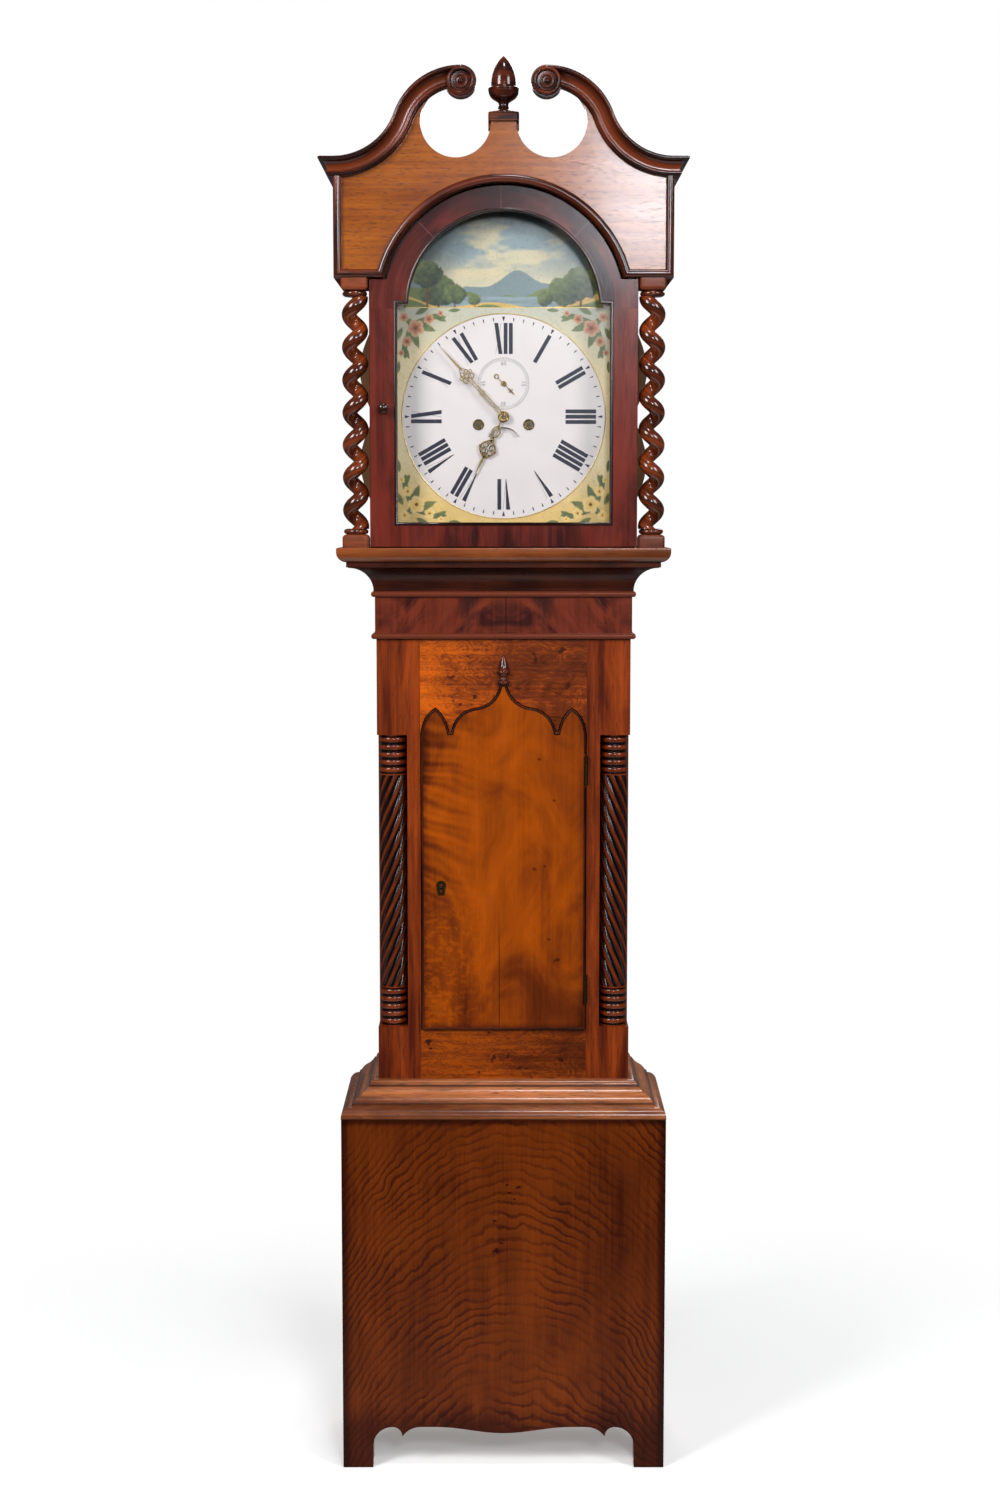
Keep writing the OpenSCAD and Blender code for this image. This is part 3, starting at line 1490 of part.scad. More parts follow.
// From the drum down round the pulley and up to a knot over the seat board
module gut_line() {
    r = gut_dia / 2;
    color("wheat") {
        translate([line_near, yy(drum_d), pulley_rest_z]) cylinder(r = r, h = winding_z - pulley_rest_z);
        translate([line_far, yy(drum_d), pulley_rest_z]) cylinder(r = r, h = plate_z0 - pulley_rest_z + 1);
        translate([line_far, yy(drum_d), plate_z0]) cylinder(r = 3.5, h = 5);
        translate([pulley_x, yy(drum_d), pulley_rest_z]) rotate([90, 0, 0])
            rotate_extrude(angle = 180, start = 180) translate([line_wrap_r, 0]) circle(r = r);
    }
}

module gut_line_right() {
    gut_line();
}

module gut_line_left() {
    mirror([1, 0, 0]) gut_line();
}

backboard();
base_front_panel();
base_sides();
base_inner_frame();
plinth_moulding();
trunk_sides();
corner_posts();
trunk_top_rail();
trunk_bottom_rail();
trunk_columns();
door_head_finial();
frieze_panel();
throat_moulding();
seat_board();
case_hinge_leaves();
trunk_door();
door_hinge_leaves();
door_lock();
lock_bolt();
hood_base_frame();
hood_sides();
hood_top_box();
dial_mask();
tympanum();
tympanum_bead();
swan_neck_left();
swan_neck_right();
rosettes();
hood_finial();
hood_columns();
column_blocks();
hood_door_frame();
hood_door_glass();
hood_door_knob();
hood_door_pivots();
dial_plate();
movement_frame();
bell();
going_barrel();
centre_wheel();
minute_hand();
third_wheel();
escape_wheel();
seconds_hand();
anchor();
minute_wheel();
hour_wheel();
hour_hand();
date_disc();
pendulum();
weight_left();
weight_right();
pulley_left();
pulley_right();
gut_line_left();
gut_line_right();
strike_barrel();
pin_wheel();
gathering_wheel();
strike_hammer();
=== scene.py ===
"""Longcase clock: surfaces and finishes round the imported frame, laid out as an add-on.

Lengths inside the shape functions are in millimetres as [across, depth, height]: across runs to the viewer's
right, depth forwards from the wall face of the backboard, and height up from the floor.
"""

import math

import bmesh
import bpy
import numpy as np
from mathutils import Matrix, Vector
from bpy.props import FloatProperty, FloatVectorProperty, IntProperty, PointerProperty


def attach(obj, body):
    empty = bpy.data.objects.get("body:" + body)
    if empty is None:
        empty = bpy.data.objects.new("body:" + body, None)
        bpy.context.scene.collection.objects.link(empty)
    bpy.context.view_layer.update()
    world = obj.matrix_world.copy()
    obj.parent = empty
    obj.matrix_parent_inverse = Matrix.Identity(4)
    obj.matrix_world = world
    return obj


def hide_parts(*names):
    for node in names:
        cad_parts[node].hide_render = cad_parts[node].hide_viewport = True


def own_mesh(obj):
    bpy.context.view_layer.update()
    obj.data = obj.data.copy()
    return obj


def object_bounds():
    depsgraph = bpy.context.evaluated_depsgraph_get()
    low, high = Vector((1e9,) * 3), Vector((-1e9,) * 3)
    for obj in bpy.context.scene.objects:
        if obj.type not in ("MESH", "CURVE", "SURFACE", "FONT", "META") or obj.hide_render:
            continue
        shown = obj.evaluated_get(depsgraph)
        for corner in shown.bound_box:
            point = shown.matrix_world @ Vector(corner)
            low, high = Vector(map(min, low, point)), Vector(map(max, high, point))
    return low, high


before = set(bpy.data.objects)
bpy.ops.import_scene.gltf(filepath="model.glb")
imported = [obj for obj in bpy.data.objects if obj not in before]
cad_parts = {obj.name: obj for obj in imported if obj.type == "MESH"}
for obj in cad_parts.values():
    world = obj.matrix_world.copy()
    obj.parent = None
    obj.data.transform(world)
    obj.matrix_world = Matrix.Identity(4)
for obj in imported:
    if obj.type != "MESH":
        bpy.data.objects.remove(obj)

bl_info = {
    "name": "Longcase clock",
    "version": (1, 0, 0),
    "blender": (4, 5, 0),
    "location": "3D View > Sidebar > Clock",
    "description": "Builds the mouldings, columns, hands, dial and finishes of a longcase clock",
    "category": "Object",
}

CAD_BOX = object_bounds()
WALL = CAD_BOX[1].y * 1000

# Heights and depths that the solids share with these surfaces
BASE_H, PLINTH_H, TRUNK_D, PROJECTION = 584.0, 54.0, 190.0, 59.0
TRUNK_HALF, BASE_D, FACE = 204.5, 249.0, 242.0
BEAD_Z, BEAD_H, CAVETTO_H, HOOD_Z, HOOD_FLOOR = 1359.0, 9.5, 38.0, 1483.0, 1506.0
FRIEZE_TOP, CAVETTO_Z = 1426.5, 1436.0
TWIST_Z, TWIST_H, CAPITAL_Z, LEG_Z = 1527.0, 380.0, 1907.0, 1926.0
CENTRE_Z, ARCH_Z, ARCH_R = 1713.0, 1879.0, 193.0
TYMPANUM_HALF, BEAD_W = 265.5, 13.0
HOOD_COL_X, HOOD_COL_D = 233.5, 225.0
COLUMN_X, COLUMN_D, RECESS_Z, RECESS_H = 180.0, 167.0, 724.0, 480.0
HORN_TOP, CREST_TOP, CREST_X, NECK_R = 2110.0, 2247.0, 66.5, 110.0
NECK_W, NECK_OUT, HORN_X = 31.0, 22.0, 263.5
ROSETTE_Z, ROSETTE_R, PEDESTAL_TOP = 2222.0, 24.5, 2165.0
DIAL_D, SIGHT_HALF, SIGHT_R, SIGHT_LOW, SIGHT_TOP = 196.0, 167.0, 150.0, 1546.0, 1886.0
DOOR_D, HOUR_D, MINUTE_D, ESCAPE_Z = 240.0, 199.0, 203.0, 1765.0
WINDING_X, WINDING_Z = 40.0, 1700.5
PULLEY_X, PULLEY_Z, LINE_R, DRUM_D, SEAT_TOP = 84.0, 446.0, 22.0, 126.0, 1650.0
WEIGHT_FALL, BOB_Z, BOB_R = 1120.0, 826.0, 55.5
LOCK_X, LOCK_D, LOCK_Z = -103.0, 166.0, 955.0
HOOD_BACK, HOOD_DOOR_HALF = 14.0, 210.0
OPENING_HALF, OPENING_LOW, SHOULDER = 134.5, 719.0, 1206.0

# Painting: radius of the gold circle, half width of the dial's plate, and the arch's foot above the centre
GOLD_R, PLATE_HALF, SCENE_LOW = 161.5, 177.5, 171.0


# Shapes


def turn(angle):
    """Cosine and sine of an angle in degrees."""
    return np.cos(np.radians(angle)), np.sin(np.radians(angle))


def arc(cx, cy, rx, ry, a0, a1, n=12):
    """Points centre + (rx cos a, ry sin a) for n + 1 even angles from a0 to a1."""
    c, s = turn(np.linspace(a0, a1, n + 1))
    return np.stack([cx + rx * c, cy + ry * s], 1)


def chain(*parts):
    """One row of points from several, without repeated neighbours."""
    p = np.vstack([np.atleast_2d(np.asarray(q, float)) for q in parts])
    keep = np.r_[True, np.linalg.norm(np.diff(p, axis=0), axis=1) > 1e-6]
    return p[keep]


def smooth_step(low, high, v):
    """3t^2 - 2t^3 of the share t of the way from low to high."""
    t = np.clip((v - low) / (high - low), 0, 1)
    return t * t * (3 - 2 * t)


def grid(x, y, z):
    """Points from three coordinates, each spread to the rows and columns that they have together."""
    return np.stack(np.broadcast_arrays(x, y, z), -1)


class Shell:
    """Gathers grids of points and makes one closed mesh of them."""

    def __init__(self):
        self.points, self.grain, self.paint, self.loops, self.sizes = [], [], [], [], []
        self.count = 0

    def add(self, p, grain=None, ring=False, loop=False, sheet=False, paint=None):
        """p[i, j] is the point of row i and column j, and each cell of the grid is one face.
        ring joins the last column to the first. loop joins the last row to the first; otherwise each end
        row is closed by a flat face, unless it is a single point or the grid is an open sheet. Faces are
        turned round if the volume they enclose comes out negative, or if a sheet faces the wall."""
        p = np.asarray(p, float)
        rows, cols = p.shape[:2]
        world = np.stack([p[..., 0], WALL - p[..., 1], p[..., 2]], -1) / 1000
        flat = world.reshape(-1, 3)
        k = np.arange(rows * cols).reshape(rows, cols)
        a = np.vstack([k, k[:1]]) if loop else k
        a = np.hstack([a, a[:, :1]]) if ring else a
        quads = np.stack([a[:-1, :-1], a[:-1, 1:], a[1:, 1:], a[1:, :-1]], -1).reshape(-1, 4)
        ends = []
        if not (loop or sheet):
            for row, way in ((k[0], -1), (k[-1], 1)):
                if np.ptp(flat[row], axis=0).max() > 1e-6:
                    ends.append(row[::way])
        q = flat[quads] - flat.mean(0)
        size = np.einsum("ij,ij->i", q[:, 0], np.cross(q[:, 1], q[:, 2])).sum()
        size += np.einsum("ij,ij->i", q[:, 0], np.cross(q[:, 2], q[:, 3])).sum()
        for e in ends:
            f = flat[e] - flat.mean(0)
            size += np.einsum("ij,ij->i", np.repeat(f[:1], len(e) - 2, 0), np.cross(f[1:-1], f[2:])).sum()
        if sheet:
            size = -np.cross(q[:, 1] - q[:, 0], q[:, 2] - q[:, 0])[:, 1].sum()
        if size < 0:
            quads, ends = quads[:, ::-1], [e[::-1] for e in ends]
        self.loops += [quads.ravel() + self.count] + [e + self.count for e in ends]
        self.sizes += [np.full(len(quads), 4)] + [np.array([len(e)]) for e in ends]
        self.points.append(flat)
        self.grain.append(flat if grain is None else np.asarray(grain, float).reshape(-1, 3) / 1000)
        if paint is not None:
            self.paint.append(np.c_[paint.reshape(-1, 3), np.ones(len(flat))])
        self.count += len(flat)
        return self

    def turned(self, profile, axis, where, n, sweep=360.0):
        """Surface of revolution: profile [radius, distance along the axis] turned about the axis
        ("up" or "forward") that stands at where. Less than a whole turn is closed by a flat back."""
        whole = sweep == 360.0
        c, s = turn(np.linspace(0, sweep, n + (not whole), endpoint=not whole))
        r, h = profile[:, :1], profile[:, 1:]
        x, y, z = where
        if axis == "up":
            return self.add(grid(x + r * c, y + r * s, z + h), ring=True)
        return self.add(grid(x + r * c, y + h, z + r * s), ring=True)

    def swept(self, path, profile, d0):
        """Profile [side, rise] carried along a path in the front plane:
        point = path + side times the path's normal, at depth d0 + rise."""
        n = mitred(path)
        side, rise = profile.T
        along = np.r_[0, np.cumsum(np.linalg.norm(np.diff(path, axis=0), axis=1))][:, None]
        return self.add(grid(path[:, :1] + n[:, :1] * side, d0 + rise, path[:, 1:] + n[:, 1:] * side),
                        grid(along, side, rise), ring=True)

    def slab(self, outline, d0, d1):
        """A flat outline [across, height] from depth d0 to d1."""
        return self.add(grid(outline[:, 0], np.array([[d0], [d1]]), outline[:, 1]), ring=True)

    def mesh(self, name, edge, weld):
        """The gathered faces as a mesh, welded if asked, with edges sharper than edge degrees kept crisp."""
        mesh = bpy.data.meshes.new(name)
        points = np.vstack(self.points).astype(np.float32)
        loops, sizes = np.concatenate(self.loops), np.concatenate(self.sizes)
        mesh.vertices.add(len(points))
        mesh.vertices.foreach_set("co", points.ravel())
        mesh.loops.add(len(loops))
        mesh.loops.foreach_set("vertex_index", loops.astype(np.int32))
        mesh.polygons.add(len(sizes))
        mesh.polygons.foreach_set("loop_start", np.r_[0, np.cumsum(sizes)[:-1]].astype(np.int32))
        mesh.update(calc_edges=True)
        grain = mesh.attributes.new("grain", "FLOAT_VECTOR", "POINT")
        grain.data.foreach_set("vector", np.vstack(self.grain).astype(np.float32).ravel())
        if self.paint:
            paint = mesh.color_attributes.new("paint", "FLOAT_COLOR", "POINT")
            paint.data.foreach_set("color", np.vstack(self.paint).astype(np.float32).ravel())
        if weld:
            work = bmesh.new()
            work.from_mesh(mesh)
            bmesh.ops.remove_doubles(work, verts=work.verts, dist=2e-6)
            work.to_mesh(mesh)
            work.free()
        mesh.polygons.foreach_set("use_smooth", np.ones(len(mesh.polygons), bool))
        mesh.set_sharp_from_angle(angle=math.radians(edge))
        mesh.update()
        return mesh


def place(name, shell, finish, body, replaces=(), edge=35.0, weld=True):
    """Makes the piece, gives it its finish and lets it move with its body."""
    piece = bpy.data.objects.new(name, shell.mesh(name, edge, weld))
    bpy.context.scene.collection.objects.link(piece)
    piece.data.materials.append(finish)
    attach(piece, body)
    if replaces:
        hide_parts(*replaces)
    return piece


def dress(finish, *nodes):
    """Gives solids of the frame their finish."""
    for node in nodes:
        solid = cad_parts[node]
        if not solid.material_slots:
            solid.data.materials.append(finish)
        for slot in solid.material_slots:
            slot.material = finish


def mitred(path):
    """Unit normals of a path in the front plane, to its right, lengthened at corners by
    1 / cos(half the turn) so that offset lines stay parallel."""
    path = np.asarray(path, float)
    step = np.diff(path, axis=0)
    step /= np.linalg.norm(step, axis=1)[:, None]
    before, after = np.vstack([step[:1], step]), np.vstack([step, step[-1:]])
    middle = before + after
    middle /= np.linalg.norm(middle, axis=1)[:, None]
    stretch = 1 / np.maximum(np.einsum("ij,ij->i", middle, after), 0.2)
    return np.stack([middle[:, 1], -middle[:, 0]], 1) * stretch[:, None]


def round_the_case(profile, half, front, back):
    """A moulding along both sides and the front: profile [projection, height] moved out from a U of
    half width half, with mitres at the front corners."""
    out, height = profile.T
    side, depth, mitre = np.array([(-1, back, 0), (-1, front, 1), (1, front, 1), (1, back, 0)]).T[..., None]
    along = np.r_[0, np.cumsum((front - back, 2 * half, front - back))][:, None]
    return grid(side * (half + out), depth + mitre * out, height), grid(along, out, height)


def squared_turning(profile, power, x, d):
    """A block round the axis at x, d whose level sections are rounded squares: a turned profile whose circle
    is divided by (|cos a|^power + |sin a|^power)^(1 / power)."""
    c, s = turn(np.arange(48) * 7.5 + 3.75)
    stretch = (np.abs(c) ** power + np.abs(s) ** power) ** (1 / power)
    r, h = profile[:, :1], profile[:, 1:]
    return grid(x + r * (c / stretch), d + r * (s / stretch), h)


class Strips:
    """Flat metal strips with rounded edges in the front plane, thick from depth d0, gathered in a shell."""

    def __init__(self, shell, d0, thick):
        self.shell, self.d0, self.thick = shell, d0, thick

    def carry(self, x, z, loop=False):
        """Adds a strip whose section has six points: two at the edges half way up, two above, two below."""
        rise = np.array([0.5, 1, 1, 0.5, 0, 0]) * self.thick
        self.shell.add(grid(x, self.d0 + rise, z), ring=True, loop=loop)

    def strap(self, width, *path):
        """Strip along the points of a path. width is one value or one for each point."""
        path = np.asarray(path, float)
        w = np.broadcast_to(width, len(path))[:, None] / 2
        across = np.array([-1, -0.8, 0.8, 1, 0.8, -0.8])
        n = mitred(path)
        self.carry(path[:, :1] + n[:, :1] * across * w, path[:, 1:] + n[:, 1:] * across * w)

    def hoop(self, cx, cz, r, width, n):
        """Ring: the strip's section at n places round a circle of radius r."""
        c, s = turn(np.arange(n) * 360 / n)
        out = r + np.array([-1, -0.6, 0.6, 1, 0.6, -0.6]) * width / 2
        self.carry(cx + c[:, None] * out, cz + s[:, None] * out, loop=True)

    def hoops(self, way, *rings):
        """Rings [across, height, radius, width, points], mirrored where way is -1."""
        for cx, cz, r, width, n in rings:
            self.hoop(way * cx, cz, r, width, n)

    def spear(self, start, end, width):
        """A pointed blade from start to end, widest a quarter of the way up."""
        t = np.linspace(0, 1, 16)
        w = 0.5 + width * np.interp(t, [0, 0.22, 1], [0.35, 1, 0.0])
        self.strap(w, *np.stack([0 * t, start + (end - start) * t], 1))

    def boss(self, outer, hole):
        """Turned ring round the arbor: a rounded rim, a dish and a small bead at the hole."""
        h = self.thick
        ring = chain([[hole, 0], [outer, 0], [outer, h * 0.6]], arc(outer - 1.2, h * 0.6, 1.2, h, 10, 160, 6),
                     [[hole + 1.4, h * 0.9]], arc(hole + 0.9, h * 0.9, 0.7, h * 0.7, 20, 170, 6),
                     [[hole, h * 0.5]])
        self.shell.turned(ring, "forward", (0, self.d0, 0), 36)

    def link(self, low, high, half, width):
        """Oval link: two mirrored bows from low to high, half (sin pi t)^0.8 across at share t."""
        t = np.linspace(0, 1, 18)
        for way in (-1, 1):
            x = way * half * np.sin(np.pi * t) ** 0.8
            self.strap(width, *np.stack([x, low + (high - low) * t], 1))


# Finishes


class Value:
    """A shader socket that takes part in Python sums: each operator adds one Math node."""

    def __init__(self, finish, socket):
        self.finish, self.socket = finish, socket

    def math(self, operation, *values):
        """One Math node of the operation on the values."""
        return self.finish.node("Math", {"operation": operation}, dict(enumerate(values)))

    def __add__(self, other):
        return self.math("ADD", self, other)

    def __sub__(self, other):
        return self.math("SUBTRACT", self, other)

    def __mul__(self, other):
        return self.math("MULTIPLY", self, other)

    def __pow__(self, other):
        return self.math("POWER", self, other)

    def __rsub__(self, other):
        return self.math("SUBTRACT", other, self)

    def __abs__(self):
        return self.math("ABSOLUTE", self)

    def __gt__(self, other):
        return self.math("GREATER_THAN", self, other)

    def __lt__(self, other):
        return self.math("LESS_THAN", self, other)

    __radd__, __rmul__ = __add__, __mul__

    def sine(self):
        """Sine of the value in radians."""
        return self.math("SINE", self)

    def root(self):
        """Square root."""
        return self.math("SQRT", self)

    def smooth(self, low, high):
        """0 below low, 1 above high, eased between."""
        return self.finish.node("MapRange", {"interpolation_type": "SMOOTHSTEP"},
                                {0: self, 1: low, 2: high, 3: 0.0, 4: 1.0})

    def line(self, at, low, high):
        """1 within low of at, 0 further off than high, eased between."""
        return 1 - abs(self - at).smooth(low, high)


class Finish:
    """A material made of one main shader and the nodes that feed it."""

    def __init__(self, name, roughness=0.4, metallic=0.0, coat=0.0, specular=0.5):
        self.material = bpy.data.materials.new(name)
        self.material.use_nodes = True
        self.tree = self.material.node_tree
        self.tree.nodes.clear()
        self.shader = self.tree.nodes.new("ShaderNodeBsdfPrincipled")
        output = self.tree.nodes.new("ShaderNodeOutputMaterial")
        self.tree.links.new(self.shader.outputs[0], output.inputs[0])
        self.set("Roughness", roughness)
        self.set("Metallic", metallic)
        self.set("Coat Weight", coat)
        self.set("Coat Roughness", 0.12)
        self.set("Specular IOR Level", specular)

    def node(self, kind, settings=None, values=None, out=0):
        """Adds a node: its settings first, then the values or links of its sockets."""
        node = self.tree.nodes.new("ShaderNode" + kind)
        for key, value in (settings or {}).items():
            if key == "stops":
                ramp = node.color_ramp.elements
                while len(ramp) < len(value):
                    ramp.new(0.5)
                for mark, (position, colour) in zip(ramp, value):
                    mark.position, mark.color = position, (*colour[:3], 1)
            else:
                setattr(node, key, value)
        for key, value in (values or {}).items():
            if isinstance(value, Value):
                self.tree.links.new(value.socket, node.inputs[key])
            else:
                node.inputs[key].default_value = value
        return Value(self, node.outputs[out])

    def set(self, socket, value):
        """Links a value to a socket of the main shader, or sets it there."""
        if isinstance(value, Value):
            self.tree.links.new(value.socket, self.shader.inputs[socket])
        else:
            self.shader.inputs[socket].default_value = value

    def place(self):
        """Position in metres, in the piece's own frame."""
        return self.node("TexCoord", out=3)

    def split(self, vector):
        """The three parts of a vector."""
        node = self.node("SeparateXYZ", values={0: vector}).socket.node
        return [Value(self, s) for s in node.outputs]

    def axes(self):
        """Across, depth and height of the position, in metres."""
        return self.split(self.place())

    def join(self, x, y, z):
        """A vector from its three parts."""
        return self.node("CombineXYZ", values={0: x, 1: y, 2: z})

    def grain(self, along):
        """Position in metres with the grain's direction first: along an axis, or along the piece's path."""
        if along == "path":
            return self.node("Attribute", {"attribute_name": "grain"}, out=1)
        x, y, z = self.axes()
        return self.join(*{"x": (x, y, z), "y": (y, x, z), "z": (z, x, y)}[along])

    def noise(self, vector, scale, detail=3.0, rough=0.55, warp=0.0):
        """Cloud noise from 0 to 1. scale is how many clouds a metre holds: one number, or one for each
        axis."""
        scale = scale if isinstance(scale, tuple) else (scale,) * 3
        stretched = self.node("VectorMath", {"operation": "MULTIPLY"}, {0: vector, 1: scale})
        return self.node("TexNoise", {"noise_dimensions": "3D"},
                         {"Vector": stretched, "Scale": 1.0, "Detail": detail, "Roughness": rough,
                          "Distortion": warp})

    def sway(self, amount, *cloud_of):
        """Cloud noise about nought: amount times (noise - 0.5)."""
        return (self.noise(*cloud_of) - 0.5) * amount

    def ramp(self, value, stops):
        """Colour by value, in straight lines between stops [value, colour]."""
        return self.node("ValToRGB", {"stops": stops}, {0: value})

    def mix(self, a, b, share, blend="MIX"):
        """Colour a turned to b by a share, which is a number or a mask."""
        a, b = (v if isinstance(v, Value) else (*v[:3], 1) for v in (a, b))
        return self.node("Mix", {"data_type": "RGBA", "blend_type": blend}, {0: share, 6: a, 7: b}, out=2)

    def mix_vector(self, a, b, share):
        """Vector a turned to b by a share."""
        return self.node("Mix", {"data_type": "VECTOR"}, {0: share, 4: a, 5: b}, out=1)

    def away(self, x, z):
        """Distance in millimetres from the lines along the depth at x and at -x, both at height z."""
        px, _, pz = self.axes()
        return ((abs(px) - x / 1000) ** 2 + (pz - z / 1000) ** 2).root() * 1000

    def done(self, colour, roughness, height, strength, distance):
        """Sets colour, roughness and the bump of a height, and gives the material."""
        self.set("Base Color", colour)
        self.set("Roughness", roughness)
        self.set("Normal", self.node("Bump", values={"Strength": strength, "Distance": distance,
                                                     "Height": height}))
        return self.material


def shade(colour, factor):
    """A colour times a factor, each part at most 1."""
    return tuple(min(1.0, c * factor) for c in colour[:3])


def between(a, b, t):
    """The colour at share t of the way from a to b."""
    return tuple(p + (q - p) * t for p, q in zip(a[:3], b[:3]))


def wood(name, dark, light, along="z", streaks=0.5, fibres=0.3, figure=0.5, figure_scale=(5, 9, 9),
         pores=0.5, pore_scale=(40, 900, 900), roughness=0.3, coat=0.08, specular=0.22, blotch=0.5,
         vector=None, ripple=None, extra=None):
    """Polished wood. Tone = streaks (noise drawn out along the grain) + fibres (finer) + figure (clouds
    across the grain) + blotch (wide clouds) + ripple (a formula of the place). Pores are short dark
    dashes, and extra lays lines or patches over the colour."""
    f = Finish(name, coat=coat, specular=specular)
    p = f.grain(along) if vector is None else vector(f)
    tone = (f.sway(streaks, p, (1.3, 24, 24), 4, 0.6, 0.6)
            + f.sway(fibres, p, (5, 190, 190), 3, 0.6)
            + f.sway(figure, p, figure_scale, 4, 0.6, 1.5)
            + f.sway(blotch, p, (3, 5, 5), 2))
    if ripple is not None:
        tone = tone + ripple(f)
    tone = tone + 0.5
    colour = f.ramp(tone, [(0.15, shade(dark, 0.35)), (0.38, dark), (0.62, light), (0.9, shade(light, 1.5))])
    dash = f.noise(p, pore_scale, 2).smooth(0.56, 0.68) * pores
    colour = f.mix(colour, shade(dark, 0.25), dash)
    if extra is not None:
        colour = extra(f, colour)
    sheen = roughness + f.sway(0.16, p, (3, 40, 40), 2) + dash * 0.15
    return f.done(colour, sheen, tone * 0.2 - dash, 0.2, 0.0003)


def turned_wood(name, dark, light, roughness=0.2, coat=0.5, specular=0.4, extra=None):
    """Dark polished wood of turned and moulded pieces. Tone = streaks along the piece's path + clouds +
    fine fibres."""
    f = Finish(name, coat=coat, specular=specular)
    p = f.grain("path")
    tone = (f.sway(0.9, p, (3, 50, 50), 3, 0.6, 0.8) + f.sway(0.7, p, 9, 3)
            + f.sway(0.25, p, (14, 300, 300), 2) + 0.5)
    colour = f.ramp(tone, [(0.2, shade(dark, 0.4)), (0.42, dark), (0.68, light), (0.9, shade(light, 1.3))])
    if extra is not None:
        colour = extra(f, colour)
    return f.done(colour, roughness + f.sway(0.16, p, 60, 3), tone, 0.06, 0.0003)


def metal(name, colour, roughness=0.3, stain=0.35, second=None, mask=None):
    """Metal with a stained, brushed surface. second is another metal's colour where mask is 1."""
    f = Finish(name, metallic=1.0)
    p = f.place()
    haze = f.noise(p, 45, 4)
    stains = haze.smooth(0.45, 0.75) * stain
    base = f.mix(colour, shade(colour, 0.45), stains)
    if second is not None:
        base = f.mix(base, f.mix(second, shade(second, 0.55), stains), mask(f))
    sheen = roughness + (haze - 0.5) * 0.3 + f.sway(0.2, p, (900, 900, 60), 2)
    return f.done(base, sheen, f.noise(p, 500, 2), 0.05, 0.0002)


def near_axis(x, z, r):
    """Mask that is 1 within r of a line along the depth at x, z, all in millimetres."""
    def mask(f):
        px, _, pz = f.axes()
        away = ((px - x / 1000) ** 2 + (pz - z / 1000) ** 2).root() * 1000
        return 1 - away.smooth(r - 0.2, r + 0.2)
    return mask


# Painting of the dial, worked out from place


def cloud(x, z, size, seed):
    """Smooth value noise from 0 to 1: hashed values on a lattice of pitch size, eased between."""
    x, z = x / size + seed * 17.31, z / size + seed * 9.17
    i, j = np.floor(x), np.floor(z)
    u, v = x - i, z - j
    u, v = u * u * (3 - 2 * u), v * v * (3 - 2 * v)

    def value(a, b):
        """Hash of a lattice point: the fraction of 43758.5453 sin(127.1 a + 311.7 b + 74.7 seed)."""
        h = np.sin(a * 127.1 + b * 311.7 + seed * 74.7) * 43758.5453
        return h - np.floor(h)

    low = value(i, j) * (1 - u) + value(i + 1, j) * u
    high = value(i, j + 1) * (1 - u) + value(i + 1, j + 1) * u
    return low * (1 - v) + high * v


def mottle(x, z, size, seed):
    """Mean of value noise at four halving sizes, each weighed 1 / 1.7 of the one before, from 0 to 1."""
    total, weight = 0, 0
    for k in range(4):
        total = total + cloud(x, z, size / 2 ** k, seed + k) / 1.7 ** k
        weight += 1 / 1.7 ** k
    return total / weight


def over(base, colour, mask):
    """Lays a colour over the painting where mask is 1."""
    return base + (colour - base) * np.clip(mask, 0, 1)[..., None]


def mottled(colour, low, spread, *cloud_of):
    """A colour times low + spread times the mottle of place, size and seed."""
    return colour * (low + spread * mottle(*cloud_of)[..., None])


def under(edge, h):
    """1 below an edge line, 0 above it."""
    return smooth_step(1, -1, h - edge)


def leaf(x, z, cx, cz, angle, length, width):
    """Mask of a pointed leaf: across its axis it reaches width (1 - (2t - 1)^2) / 2 at share t of it."""
    c, s = turn(angle)
    u, v = (x - cx) * c + (z - cz) * s, (z - cz) * c - (x - cx) * s
    t = u / length
    edge = width / 2 * np.clip(1 - (2 * t - 1) ** 2, 0, None)
    return smooth_step(-0.5, 0.5, edge - np.abs(v)) * (t > 0) * (t < 1)


def bloom(x, z, cx, cz, r, petals, phase):
    """Distance inside a flower whose edge is r (0.78 + 0.22 |cos(petals a / 2)|)."""
    a = np.arctan2(z - cz, x - cx)
    edge = r * (0.78 + 0.22 * np.abs(np.cos(petals * a / 2 + phase)))
    return edge - np.hypot(x - cx, z - cz)


